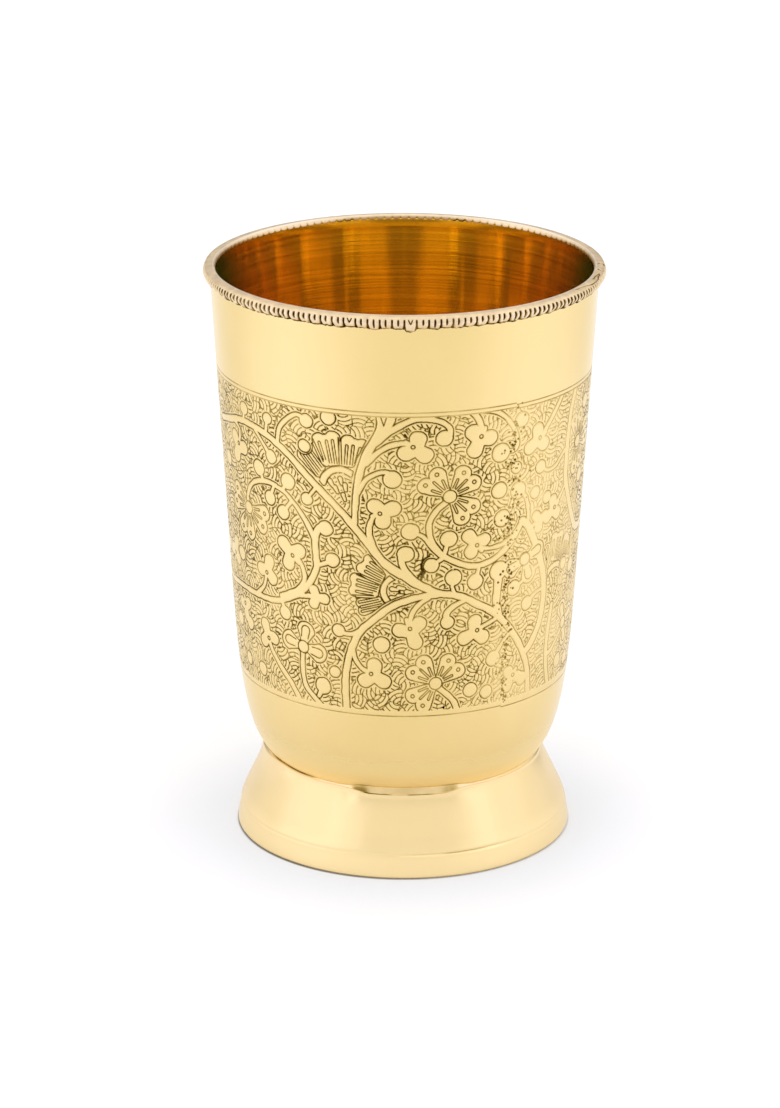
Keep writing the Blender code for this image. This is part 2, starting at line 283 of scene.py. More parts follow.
# Stems: half width in mm at each end, then the places that the stem passes through
STEMS = (
    (0.75, 0.8, ((-78, 86.4), (-70, 87.5), (-60, 88.9), (-50, 88.4), (-43, 86.9), (-37, 84.6), (-31, 81.4),
        (-25, 78.2), (-20, 75.4), (-16, 72.7), (-12, 69.8), (-8, 66.7), (-4, 64.4), (0, 62.8),
        (4, 61.2), (8, 60.1), (12, 59.1), (16, 58.7), (20, 57.8), (24, 56.3), (28, 55.0),
        (32, 53.3), (36, 50.8), (40, 47.8), (44, 44.0), (47, 39.5), (48.5, 34.0))),
    (0.55, 1.0, ((-15.6, 72.5), (-15.3, 76), (-14.8, 80), (-13.4, 84), (-11.2, 87.5), (-8.2, 90.8),
        (-6, 93.4), (-4.5, 96))),
    (1.0, 2.1, ((-7.2, 91.3), (-5.7, 93.6), (-5.3, 96.5))),
    (0.75, 0.55, ((-9, 89.5), (-5.5, 91.6), (-1, 93.4), (3, 94.5), (7, 94.6), (11, 93.9), (13.8, 92.6),
        (14, 91.2))),
    (0.6, 0.6, ((-11.5, 85.5), (-8, 87.8), (-4, 89.3), (0, 89.8), (3, 89.3))),
    (0.5, 0.55, ((-14.2, 79.5), (-12.2, 81.9), (-9, 83.4), (-6, 84.0), (-3.8, 83.2))),
    (0.5, 1.0, ((-8.3, 75.8), (-9.8, 74.6), (-10.9, 72.8), (-10.7, 70.6), (-9.3, 68.2),
        (-7, 66.1), (-4, 64.5), (-1, 63.3))),
    (0.75, 0.7, ((8, 60.3), (4.5, 61.5), (1.8, 63.0), (-0.2, 64.9), (-0.9, 66.6))),
    (0.5, 0.6, ((3.5, 71.6), (6, 70.9), (8.6, 69.0), (11.5, 67.1), (14, 66.2))),
    (0.6, 0.7, ((13, 77.6), (10.3, 76.2), (8.1, 73.9), (8.1, 71.2), (10, 68.7), (13, 66.6), (17, 65.3),
        (21, 64.3), (25, 64.1), (29, 64.7), (33, 66.0), (37, 68.2), (40.5, 71.5))),
    (0.5, 0.5, ((14, 69.6), (12.8, 67.2))),
    (0.45, 0.5, ((9.4, 65.3), (12.2, 66.3))),
    (0.5, 0.55, ((23.4, 68.2), (27, 67.4), (31, 67.4), (35, 68.2), (38, 69.6))),
    (0.55, 0.7, ((24.2, 90), (23.8, 92.3), (22.4, 94.2), (20, 96))),
    (0.5, 0.5, ((19.5, 95.6), (26, 95.3), (31, 94.0), (34.8, 91.4), (36.8, 88.6), (36.3, 86.6), (33, 86.3))),
    (0.8, 0.75, ((-19.7, 33.5), (-20, 39), (-19.2, 43.5), (-17.2, 47.8), (-14, 51.3), (-9, 54.2), (-4, 56.6),
        (2, 58.1), (8, 58.9), (12, 59.0))),
    (0.6, 0.5, ((-17.2, 47.5), (-16.2, 45.3), (-14, 43.5), (-11.6, 42.6))),
    (0.5, 0.5, ((-21, 50.6), (-17.6, 50.4), (-14.5, 51.4))),
    (0.5, 0.6, ((2.2, 52.4), (2.5, 54.8), (4.5, 56.8), (8, 58.5))),
    (0.8, 0.5, ((14.2, 53.3), (14.2, 55.0), (17, 56.5), (21, 57.4))),
    (0.5, 0.5, ((16, 61.8), (15.7, 60.3), (16.6, 58.8))),
    (0.5, 0.5, ((23.8, 61.4), (24.8, 63.9))),
    (1.0, 0.8, ((32, 62), (31.8, 59), (31.6, 56), (33, 53))),
    (0.5, 0.5, ((24.6, 50.9), (28, 51.6), (32, 52.6))),
    (0.6, 0.7, ((12, 39.5), (15, 37.9), (17.5, 36.2), (18.8, 34))),
    (0.6, 0.65, ((-35.8, 45), (-36.2, 41.5), (-35.3, 38), (-32.3, 36), (-28.5, 34))),
    (0.6, 0.6, ((-30.2, 36.4), (-29.2, 37.6))),
    (0.8, 0.7, ((-24.5, 71.8), (-27.6, 71.4), (-29.2, 69.2), (-29.2, 66), (-29, 63.4), (-30.8, 60.8),
        (-34, 58.3), (-38, 56.8), (-43, 55))),
    (0.5, 0.65, ((-46, 78.2), (-41, 77.4), (-37, 75.6), (-34, 73.6), (-31.3, 71.2), (-29.6, 69))),
    (0.55, 0.6, ((-36.5, 64.6), (-34.3, 62.4), (-33.9, 60.2), (-36, 58.2), (-40, 56.7), (-44, 55.5))),
    (0.5, 0.5, ((-29.5, 57), (-33, 56.9), (-36, 56.6))),
    (0.5, 0.5, ((-23.5, 65), (-26.5, 64.2), (-28.6, 63.6))),
    (0.65, 0.65, ((-78, 53.2), (-70, 53.7), (-60, 53.8), (-50, 53.9), (-44, 54.6), (-39, 56), (-35, 57.2))),
    (0.6, 0.55, ((-44, 78.1), (-48, 78.3), (-53, 77.7), (-57, 76.1), (-59.2, 73.6), (-59.2, 71.3))),
    (0.5, 0.6, ((-31.5, 93.1), (-34.5, 93.6), (-38, 92.3), (-41.3, 90.0), (-42.6, 86.6))),
    (0.5, 0.5, ((-66, 88.2), (-62, 86.8), (-62.5, 84.4))),
    (0.5, 0.55, ((-51, 58.6), (-53, 56), (-57, 54))),
    (0.6, 0.7, ((-51.8, 45), (-49.5, 42.6), (-46, 40.2), (-41.5, 37.4), (-38, 34))),
    (0.45, 0.5, ((-42.6, 52.4), (-44, 54.6))),
    (0.5, 0.5, ((-45.5, 83.6), (-48.5, 85.6), (-53, 88.4))),
    (0.45, 0.5, ((-51.8, 80.6), (-50, 78.4))),
    (0.45, 0.5, ((-58.4, 91.4), (-59, 89))),
    (0.45, 0.5, ((-46.4, 91.2), (-47.5, 88.2))),
    (0.45, 0.5, ((-47, 75.2), (-45, 77.8))),
    (0.45, 0.5, ((-41.3, 73), (-37.8, 75.6))),
    (0.45, 0.5, ((-38.9, 79.6), (-41.2, 77.6))),
    (0.45, 0.5, ((-31.7, 76.9), (-28.4, 79.4))),
    (0.9, 0.9, ((40.5, 71.5), (43.2, 70.2), (46.5, 66.6), (50, 62.4), (52.4, 58), (53, 53.5), (51.5, 49),
        (48, 45.5), (44.5, 43.6))),
    (0.7, 0.75, ((58.5, 51.5), (57.2, 46.5), (56.9, 42), (58.2, 38), (61, 33.5))),
    (0.8, 0.9, ((66, 96), (63, 91), (62, 86), (61.7, 81), (62.4, 76.5), (65.5, 72.3), (69.5, 68), (74, 65),
        (78, 64.4))),
    (0.5, 0.5, ((61.8, 83.6), (58.6, 82.3), (55, 80.6), (51, 80.4), (48, 81.5))),
    (0.6, 0.6, ((46.5, 87.6), (49, 89.2), (53, 92), (58, 96))),
    (0.5, 0.5, ((55.5, 72), (59.5, 74), (62.6, 76.2))),
    (0.5, 0.6, ((78, 47.2), (74, 46.8), (70.5, 46), (66.4, 44.6), (61, 42), (57, 41))),
    (0.5, 0.5, ((38.4, 58), (41.5, 58.8), (46, 60.6), (50.5, 61.4))),
    (0.5, 0.5, ((38.2, 78), (41.5, 76.2), (43, 73), (43, 70.2))),
    (0.5, 0.5, ((44.6, 54), (48.6, 55.6), (53, 56))),
    (0.5, 0.5, ((72, 57.5), (70.8, 62), (71.5, 66.5))),
    (0.5, 0.5, ((31.4, 44), (34, 46.6), (38, 49.2))),
)

# Round buds: place, then radius in mm
BUDS = (
    (12.2, 90.6, 1.6), (-3.6, 82.5, 1.75), (2.0, 72.0, 1.72), (0.5, 67.4, 1.65), (14.2, 70.2, 1.65),
    (8.8, 65.0, 1.5), (-7.3, 48.7, 1.65), (14.4, 53.1, 1.4), (16.0, 62.2, 1.7), (23.5, 60.9, 1.65),
    (32.0, 62.3, 2.0), (31.3, 44.2, 1.65), (31.0, 86.4, 1.9), (31.0, 78.8, 1.7), (32.4, 73.0, 1.75),
    (-23.4, 94.0, 1.5), (-31.0, 92.7, 1.4), (-38.9, 79.6, 1.7), (-31.7, 76.9, 1.3), (-25.4, 71.5, 1.55),
    (-23.3, 65.2, 1.45), (-21.8, 50.9, 1.35), (-28.3, 38.7, 1.75), (-32, 87.6, 1.3), (-23.6, 42.1, 1.2),
    (-58.4, 91.5, 1.35), (-46.4, 91.3, 1.2), (-51.8, 80.6, 1.65), (-45.5, 83.7, 1.4), (-47.0, 75.2, 1.5),
    (-41.3, 73.0, 1.5), (-42.7, 52.2, 1.45), (38.3, 92.3, 1.6), (38.2, 78.0, 1.8), (36.9, 82.8, 1.25),
    (38.4, 58.0, 1.6), (47.5, 81.6, 1.4), (44.6, 54.0, 1.5), (72.0, 57.4, 1.6), (23.2, 38.4, 1.5),
    (29.3, 37.4, 1.4), (-66.5, 60.6, 1.5), (-63.5, 46.6, 1.5), (-73, 79, 1.6), (-72.5, 46, 1.6),
    (-57, 38.2, 1.5), (-67, 38.6, 1.4), (45.5, 76.6, 1.3), (66.5, 38.4, 1.6), (74.5, 37.5, 1.5),
    (75, 90.5, 1.6), (51.5, 74.8, 1.3), (44.2, 38.4, 1.5), (74.5, 75.5, 1.6), (64.8, 59.0, 1.3),
)

# Three-lobed leaves: place, the way to the stem in degrees, reach of the lobes and their radius in mm
TREFOILS = (
    (3.7, 88.6, 142, 2.0, 1.6), (-6.3, 75.9, 205, 1.95, 1.55), (22.9, 68.9, -50, 1.95, 1.4),
    (23.4, 89.6, 66, 2.1, 1.6), (-9.8, 42.1, 150, 2.2, 1.55), (2.5, 51.4, 110, 2.3, 1.5),
    (23.7, 50.4, 27, 2.2, 1.5), (-39.2, 65.1, -43, 2.3, 1.55), (-29.2, 57.0, 178, 1.6, 1.15),
    (-63.6, 83.0, 66, 2.1, 1.5), (-50.3, 60.0, 250, 2.0, 1.45), (-52.2, 46.2, 290, 2.0, 1.4),
    (45.2, 87.2, 30, 2.1, 1.5), (55.0, 71.6, 30, 1.9, 1.4), (-72.6, 60.2, 250, 2.0, 1.4),
    (-66.5, 49.4, 100, 1.8, 1.3), (48.6, 70.6, 200, 1.6, 1.2), (39.5, 39.0, 60, 1.8, 1.3),
)

# Flowers with two-lobed petals, and flowers with a plain oval set in each petal: place, way to the stem
LOBED_FLOWERS = ((14.3, 78.8, -135), (10.8, 40.5, -45), (-59.0, 71.3, 75), (69.6, 83.2, 188))
OVAL_FLOWERS = ((-35.5, 46.1, -102), (68.6, 46.0, 200), (42.5, 63.4, 110))

# Palmette fans: place of the apex, heading in degrees, then breadth and length against the first one's
FANS = ((-16.6, 74.0, 107, 1.0, 1.0), (8.6, 59.2, 174.5, 0.86, 0.89), (58.5, 50.6, 88, 0.9, 0.9))
FAN_GAP = 0.48

# One fan, as mm up from its apex and mm across to the right: petals as strokes from base to lobe with
# the lobe's radius, slots, gaps between petals, and the arch under them
FAN_LOBES = (
    ((10.9, 2.1), (15.0, 4.3), 1.4), ((10.7, 3.4), (13.6, 6.5), 1.45),
    ((11.4, 0.4), (16.3, 1.6), 1.4), ((11.8, -1.2), (16.3, -1.2), 1.45),
    ((11.0, -2.5), (14.6, -3.9), 1.25), ((10.0, -3.6), (14.0, -5.6), 1.25),
    ((10.9, 2.75), (13.9, 5.1), 1.6), ((11.7, -0.4), (15.6, 0.2), 1.7), ((10.6, -3.05), (13.7, -4.55), 1.5),
)
FAN_SLOTS = (
    ((10.8, 2.4), (14.3, 3.8)), ((10.5, 3.4), (14.0, 4.95)), ((10.5, 4.3), (13.3, 6.1)),
    ((12.4, -1.35), (15.9, -1.35)), ((11.6, -0.35), (15.9, 0.2)), ((11.3, 0.6), (15.8, 1.4)),
    ((9.6, -3.9), (14.3, -5.9)), ((10.3, -3.05), (14.6, -4.9)), ((11.1, -2.2), (15.1, -3.8)),
)
FAN_GAPS = (((11.0, 1.45), (16.2, 2.95)), ((12.1, -2.0), (16.8, -2.65)))
FAN_HUB = (6.5, 0.0)
FAN_ARCH = (2.85, 4.45)
FAN_TURNS = np.radians(np.linspace(-62, 62, 20))
FAN_LEAVES = ((7.6, -1.4), (7.7, 0.4), (6.2, -0.9), (6.3, 0.8), (4.5, 0.0))

# Stains: strokes of dirt that stayed thick in the ground, with their start and end half widths in mm
STAINS = (
    (((8.2, 66.95), (6.9, 66.6), (6.0, 66.0), (5.6, 65.2), (5.75, 64.3), (6.5, 63.6)), 0.10, 0.26),
    (((6.1, 64.0), (5.0, 63.2), (4.4, 62.5)), 0.24, 0.18),
    (((6.4, 63.7), (5.8, 62.9), (5.5, 62.2)), 0.26, 0.20),
    (((7.6, 63.0), (7.4, 62.3)), 0.14, 0.14),
    (((-1.4, 59.8), (-1.2, 58.9)), 0.20, 0.14),
    (((-6.4, 58.0), (-6.0, 57.3)), 0.18, 0.12),
    (((-12.8, 78.7), (-12.3, 78.0)), 0.18, 0.12),
    (((0.2, 91.5), (0.9, 90.9)), 0.22, 0.15),
)

# Pointed line in the fork of the top stem
STEM_FORK = ((-7.1, 95.2), (-6.1, 93.2), (-5.1, 95.2))

# Parts of the motifs, as turns in degrees from the stem, and mm from the centre
LEAF_TURNS = (180, 60, -60)
LEAF_TAPER = 0.8
LEAF_STALK = 0.4
STALK_HALF = (0.8, 0.5)
EYED_LEAF = 1.2
EYE_RADIUS = 0.36
EYE_PLACE = 0.75
PETAL_TURNS = (90, 180, 270)
LOBED_HEART = (1.5, 1.3)
LOBE_TURNS = (-17, 17)
LOBE_SPAN = (1.6, 5.0)
LOBE_HALF = (0.75, 1.65)
INSET_SHIFT = 0.25
PETAL_SLOTS = ((-22, 3.6), (0, 4.3), (22, 3.6))
SLOT_START = 1.75
SLOT_HALF = 0.21
OVAL_HEART = (1.45, 1.28)
OVAL_SPAN = (1.2, 3.4)
OVAL_HALF = (0.9, 2.05)
SHOE_RADIUS = 0.95
SHOE_TURN = 100
SHOE_LEG = 1.5
SHOE_SPLAY = 6
FAN_SLOT_HALF = 0.24
FAN_LOBE_START = 0.75
FAN_GAP_SHORT = 1.1
FAN_GAP_HALF = (0.6, 0.4)
FAN_GAP_LINE = 0.25
FAN_ARCH_HALF = 0.7
FAN_LEAF_RUN = (-0.5, 0.6)
FAN_LEAF_SPREAD = 1.2
FAN_LEAF_HALF = (0.35, 0.5)

# Colours of the dirt in cut lines, also used for painted shade, and of the painted highlights
DIRT_AND_SHADE = (0.045, 0.023, 0.001)
TARNISH_AND_SHADE = (0.44, 0.295, 0.07)
PAINTED_HIGHLIGHT = (0.91, 0.79, 0.64)
# How far the etched ground goes towards the painted highlight colour as a painted sheen, and the figures'
# share of that
PAINTED_SHEEN = 0.38
FIGURE_SHEEN = 0.55
# Brass: light tone, deep tone, roughness
BAND_BRASS = ((0.824, 0.628, 0.276), (0.802, 0.606, 0.257), 0.24)
INSIDE_BRASS = ((0.945, 0.735, 0.165), (0.725, 0.525, 0.085), 0.055)
FOOT_BRASS = ((0.89, 0.69, 0.365), (0.865, 0.665, 0.34), 0.32)
WIRE_BRASS = ((0.86, 0.675, 0.42), (0.73, 0.555, 0.34), 0.38)
INSIDE_TINT = (0.68, 0.875, 0.62)
# Zones of another tone: painted light on the belly over the foot, which is also rougher there, painted shade
# inside under the lip and painted light low on the foot: metres up where each is full and where it has ended,
# tone, added roughness
UNBUFFED_PAINTED_LIGHT = (0.0178, 0.024, (0.97, 0.75, 0.34), 0.2)
UNDER_LIP_PAINTED_SHADE = (0.1138, 0.1112, (0.80, 0.47, 0.08), 0.0)
BASE_PAINTED_LIGHT = (0.0035, 0.0075, (0.97, 0.76, 0.40), 0.0)
SOLDER_TONES = ((0.30, 0.27, 0.20), (0.62, 0.58, 0.46))
# Turned lines on the brass: noise that is stretched round the axis, and the depth of their bump in metres
TURNED_SCALE = 2400.0
TURNED_STRETCH = (0.005, 0.005, 1.0)
TURNED_DEPTH = 0.00002
# Values of the noise between which the tone or the roughness drifts, and how far the roughness goes
TONE_SPAN = (0.35, 0.65)
ROUGH_SPAN = (0.3, 0.7)
ROUGH_RANGE = (0.88, 1.14)
# Patchy dirt and painted shade: scale and strength, values over which they turn to the tarnish tone and then
# to the dirt tone, roughness added
PATCH_SCALE = 190.0
PATCH_RANGE = (0.65, 1.1)
TARNISH_AND_SHADE_SPAN = (0.08, 0.5)
DIRT_AND_SHADE_SPAN = (0.4, 0.9)
DIRT_AND_SHADE_ROUGHER = 0.25

# Table, in metres: tones far off, of the painted shadow near the cup and of the painted contact shadow line
FLOOR_HALF = 3.0
FLOOR_TONES = ((0.97, 0.97, 0.985), (0.98, 0.98, 0.99))
FLOOR_SHADOW_TONE = (0.86, 0.90, 0.975)
SHADOW_SPAN = (0.036, 0.054)
CONTACT_SHADOW_TONE = (0.25, 0.23, 0.21)
CONTACT_SHADOW_SPAN = (0.0331, 0.0334)
# The painted contact shadow is darker at the left: its span across in metres, and its strength at both ends
CONTACT_SHADOW_ACROSS = (-0.022, 0.02, 0.85, 0.25)

# Light: colours, levels of the surroundings, and the height of their brighter ceiling
COOL = (0.85, 0.92, 1.45)
POOL = (0.80, 0.92, 1.80)
BACK_LEVEL = 0.45
FRONT_LOW_LEVEL = 1.12
FRONT_LEVEL = 0.40
SIDE_LEVEL = 1.0
CEILING_LEVEL = 1.18
FRONT_FADE = (math.sin(math.radians(8)), math.sin(math.radians(13)))
CEILING_FADE = (math.sin(math.radians(9)), math.sin(math.radians(17)))
SIDE_FADE = (0.5, 0.85)
BACK_FADE = (-0.3, 0.3)
FRONT_RAISE = 0.10
BACK_RAISE = 0.21
MIRROR_BOUNCES = 12
# Softboxes, in metres: name, degrees to the right from the camera's side, height, size, level
LAMP_DISTANCE = 0.60
LAMP_AIM = (0, 0, 0.06)
SOFTBOXES = (
    ("left_softbox", -74, 0.24, (0.50, 0.46), 0.22),
    ("right_softbox", 82, 0.24, (0.46, 0.46), 0.10),
    ("left_strip", -42, 0.265, (0.28, 0.05), 1.3),
    ("right_strip", 60, 0.265, (0.20, 0.05), 1.3),
    ("back_strip", 180, 0.305, (0.12, 0.05), 0.9),
)
# Pools of light on the table, in metres and watts
WASHES = (("left_wash", (-0.27, -0.10)), ("right_wash", (0.28, -0.04)))
WASH_HEIGHT = 0.9
WASH_POWER = 9.0
WASH_SPREAD = math.radians(34)
WASH_SOFTNESS = 0.05


def place(degrees, height):
    """A place on the band as a point on the unrolled sheet, in mm."""
    return np.array((degrees * FRONT_SQUEEZE * MM_PER_DEGREE, height))


def toward(angle):
    """Unit vector at an angle in degrees on the unrolled sheet."""
    return np.array((math.cos(math.radians(angle)), math.sin(math.radians(angle))))


def held(values):
    """Values held between 0 and 1."""
    return np.clip(values, 0, 1)


def eased(share):
    """A share from 0 to 1, with a soft start and end."""
    return share * share * (3 - 2 * share)


def plateau(values, start, full, fade, end):
    """Rises from 0 to 1 between two values and falls back between two later ones."""
    share = np.minimum((values - start) / (full - start), (end - values) / (end - fade))
    return eased(held(share))


def stretches(degrees, spans):
    """Sum of the strengths of some stretches round the axis."""
    return sum(strength * plateau(degrees, *span) for strength, *span in spans)


def from_middle(degrees, middle):
    """Degrees round from a middle, between -180 and 180."""
    return (degrees - middle + 180) % 360 - 180


def even_turn(columns):
    """Angles of evenly spaced columns round the axis."""
    return np.arange(columns) * math.tau / columns


def add_object(name, data):
    obj = bpy.data.objects.new(name, data)
    bpy.context.scene.collection.objects.link(obj)
    return obj


def smooth_path(points, step):
    """Points about a step apart on a smooth curve through the given ones."""
    points = np.asarray(points, float)
    ends = np.vstack((2 * points[0] - points[1], points, 2 * points[-1] - points[-2]))
    found = []
    for before, start, end, after in zip(ends, ends[1:], ends[2:], ends[3:]):
        count = max(2, int(np.linalg.norm(end - start) / step))
        t = np.arange(count)[:, None] / count
        found.append(0.5 * (2 * start + (end - before) * t
                            + (2 * before - 5 * start + 4 * end - after) * t ** 2
                            + (3 * start - before - 3 * end + after) * t ** 3))
    found.append(points[-1:])
    return np.vstack(found)


def arc_path(centre, radius, start, end, count):
    """Points on a round stretch, between two angles in degrees."""
    return np.array([centre + radius * toward(a) for a in np.linspace(start, end, count)])


def bezier(start, pull_start, pull_end, end, count):
    """Points along a cubic curve, both ends included."""
    t = np.linspace(0, 1, count)[:, None]
    corners = [np.asarray(corner, float) for corner in (start, pull_start, pull_end, end)]
    return ((1 - t) ** 3 * corners[0] + 3 * t * (1 - t) ** 2 * corners[1]
            + 3 * t ** 2 * (1 - t) * corners[2] + t ** 3 * corners[3])


class Plate:
    """The unrolled front of the band, with each point's distance to the motifs' edge and to inner lines."""

    def __init__(self):
        self.across = np.arange(-CELL_COLUMNS, CELL_COLUMNS + 1) * 360 / FINE_COLUMNS * MM_PER_DEGREE
        rows = round((BAND_HIGH - BAND_LOW) / ROW_STEP)
        self.heights = np.linspace(BAND_HIGH, BAND_LOW, rows + 1)
        self.step_x = self.across[1] - self.across[0]
        self.step_y = self.heights[0] - self.heights[1]
        self.edge = np.full((len(self.heights), len(self.across)), FAR)
        self.line = self.edge.copy()

    def window(self, low, high, margin):
        """Row and column slices of the points within a margin of a box."""
        left = int((low[0] - margin - self.across[0]) / self.step_x)
        right = int((high[0] + margin - self.across[0]) / self.step_x) + 2
        top = int((self.heights[0] - high[1] - margin) / self.step_y)
        bottom = int((self.heights[0] - low[1] + margin) / self.step_y) + 2
        return slice(max(top, 0), max(bottom, 0)), slice(max(left, 0), max(right, 0))

    def offsets(self, box, spot):
        """How far a box of points lies to the right of a spot and above it."""
        return self.across[box[1]][None, :] - spot[0], self.heights[box[0]][:, None] - spot[1]

    def slopes(self, field):
        """How fast a field grows to the right and upwards."""
        down, along = np.gradient(field, self.step_y, self.step_x)
        return along, -down

    def noise(self, rng, spacing):
        """A field of random values from 0 to 1 that changes over about a spacing in mm."""
        x = (self.across - self.across[0]) / spacing
        y = (BAND_HIGH - self.heights) / spacing
        left, top = x.astype(int), y.astype(int)
        values = rng.random((top[-1] + 3, left[-1] + 3))
        x, y = eased(x - left)[None, :], eased(y - top)[:, None]
        upper, lower = (values[row][:, left] * (1 - x) + values[row][:, left + 1] * x
                        for row in (top, top + 1))
        return upper * (1 - y) + lower * y

    def stamp(self, field, start, end, start_radius, end_radius):
        """Lowers a field to the distance from a round-ended stroke."""
        margin = max(start_radius, end_radius) + STROKE_MARGIN
        box = self.window(np.minimum(start, end), np.maximum(start, end), margin)
        x, y = self.offsets(box, start)
        run = end - start
        share = held((x * run[0] + y * run[1]) / max(run @ run, TINY))
        away = np.hypot(x - share * run[0], y - share * run[1])
        away -= start_radius + share * (end_radius - start_radius)
        np.minimum(field[box], away, out=field[box])

    def cover(self, path, start_radius, end_radius):
        """Adds a tapered stroke to the plain motifs."""
        radii = np.linspace(start_radius, end_radius, len(path))
        for stroke in zip(path, path[1:], radii, radii[1:]):
            self.stamp(self.edge, *stroke)

    def disc(self, centre, radius):
        self.stamp(self.edge, centre, centre, radius, radius)

    def score(self, path):
        """Engraves a line along a path."""
        for start, end in zip(path, path[1:]):
            self.stamp(self.line, start, end, 0, 0)

    def ring(self, centre, radius):
        self.score(arc_path(centre, radius, 0, 360, 17))

    def slot(self, start, end, half_width):
        """Engraves a narrow slot with a round outer end, open at its start."""
        run = end - start
        side = half_width * np.array((-run[1], run[0])) / np.linalg.norm(run)
        turn = math.degrees(math.atan2(run[1], run[0]))
        cap = arc_path(end, half_width, turn + 90, turn - 90, 7)
        self.score(np.vstack((start + side, cap, start - side)))


def draw_trefoil(plate, degrees, height, to_stem, reach, radius):
    centre = place(degrees, height)
    for turn in LEAF_TURNS:
        lobe = centre + reach * toward(to_stem + turn)
        plate.cover([centre, lobe], LEAF_TAPER * radius, radius)
    plate.cover([centre, centre + (reach + LEAF_STALK) * toward(to_stem)], *STALK_HALF)
    if radius > EYED_LEAF:
        plate.ring(centre + EYE_PLACE * toward(to_stem), EYE_RADIUS)


def draw_heart(plate, centre, radius, line_radius):
    plate.disc(centre, radius)
    plate.ring(centre, line_radius)


def draw_lobed_flower(plate, degrees, height, to_stem):
    """Three petals, each with two lobes, a dot in each lobe and three slots."""
    centre = place(degrees, height)
    draw_heart(plate, centre, *LOBED_HEART)
    for turn in PETAL_TURNS:
        heading = to_stem + turn
        for side in LOBE_TURNS:
            base, lobe = (centre + reach * toward(heading + side) for reach in LOBE_SPAN)
            plate.cover([base, lobe], *LOBE_HALF)
            plate.ring(lobe + INSET_SHIFT * toward(heading), EYE_RADIUS)
        for side, reach in PETAL_SLOTS:
            start, end = (centre + out * toward(heading + side) for out in (SLOT_START, reach))
            plate.slot(start, end, SLOT_HALF)


def draw_oval_flower(plate, degrees, height, to_stem):
    """Three round petals, each with a horseshoe line set in it."""
    centre = place(degrees, height)
    draw_heart(plate, centre, *OVAL_HEART)
    for turn in PETAL_TURNS:
        heading = to_stem + turn
        base, petal = (centre + reach * toward(heading) for reach in OVAL_SPAN)
        plate.cover([base, petal], *OVAL_HALF)
        middle = petal + INSET_SHIFT * toward(heading)
        bend = arc_path(middle, SHOE_RADIUS, heading - SHOE_TURN, heading + SHOE_TURN, 13)
        start = bend[0] - SHOE_LEG * toward(heading - SHOE_SPLAY)
        end = bend[-1] - SHOE_LEG * toward(heading + SHOE_SPLAY)
        plate.score(np.vstack((start, bend, end)))


def draw_fan(plate, degrees, height, heading, breadth, length):
    """Palmette: three two-lobed petals with slots over an arch. Distances in mm run up and across it."""
    apex = place(degrees, height)
    along = length * toward(heading)
    across = breadth * toward(heading - 90)

    def spot(up, right):
        return apex + up * along + right * across

    for base, lobe, radius in FAN_LOBES:
        plate.cover([spot(*base), spot(*lobe)], FAN_LOBE_START * breadth, radius * breadth)
    for start, end in FAN_SLOTS:
        plate.slot(spot(*start), spot(*end), FAN_SLOT_HALF)
    aside = FAN_GAP_LINE * toward(heading - 90)
    for start, end in FAN_GAPS:
        start, end = spot(*start), spot(*end)
        plate.cover([start, end - FAN_GAP_SHORT * toward(heading)], *FAN_GAP_HALF)
        plate.score([start - aside, end - aside])
        plate.score([start + aside, end + aside])
    hub = spot(*FAN_HUB)
    inner, outer, middle = ([hub + radius * (math.cos(a) * along + math.sin(a) * across) for a in FAN_TURNS]
                            for radius in (*FAN_ARCH, sum(FAN_ARCH) / 2))
    plate.score(inner)
    plate.score(outer)
    plate.cover(middle, FAN_ARCH_HALF * breadth, FAN_ARCH_HALF * breadth)
    for up, right in FAN_LEAVES:
        low, high = (up + run for run in FAN_LEAF_RUN)
        plate.cover([spot(low, right), spot(high, FAN_LEAF_SPREAD * right)], *FAN_LEAF_HALF)


def draw_motifs(plate):
    plate.score([place(*spot) for spot in STEM_FORK])
    for start_radius, end_radius, places in STEMS:
        plate.cover(smooth_path([place(*spot) for spot in places], STEM_STEP), start_radius, end_radius)
    for degrees, height, radius in BUDS:
        plate.disc(place(degrees, height), radius)
    for draw, motifs in ((draw_trefoil, TREFOILS), (draw_lobed_flower, LOBED_FLOWERS),
                         (draw_oval_flower, OVAL_FLOWERS)):
        for motif in motifs:
            draw(plate, *motif)


def scatter_seeds(plate, rng):
    """Random places on the sheet, none nearer to another than the spacing."""
    cell = SEED_SPACING / math.sqrt(2)
    taken = {}
    for x, y in rng.random((SEED_TRIES, 2)) * (plate.across[-1] - plate.across[0], BAND_HIGH - BAND_LOW):
        column, row = int(x / cell), int(y / cell)
        close = [taken.get((column + i, row + j)) for i in range(-2, 3) for j in range(-2, 3)]
        if all(math.hypot(x - spot[0], y - spot[1]) >= SEED_SPACING for spot in close if spot):
            taken[column, row] = (x, y)
    return np.array(list(taken.values())) + (plate.across[0], BAND_LOW)


def nearest_seeds(plate, seeds):
    """Each point's distance to its nearest and second nearest seed, and the nearest one's number."""
    nearest = np.full(plate.edge.shape, FAR)
    second = nearest.copy()
    owner = np.zeros(plate.edge.shape, int)
    for index, seed in enumerate(seeds):
        box = plate.window(seed, seed, SEED_REACH)
        away = np.hypot(*plate.offsets(box, seed))
        closer = away < nearest[box]
        second[box] = np.where(closer, nearest[box], np.minimum(second[box], away))
        nearest[box] = np.where(closer, away, nearest[box])
        owner[box][closer] = index
    return nearest, second, owner


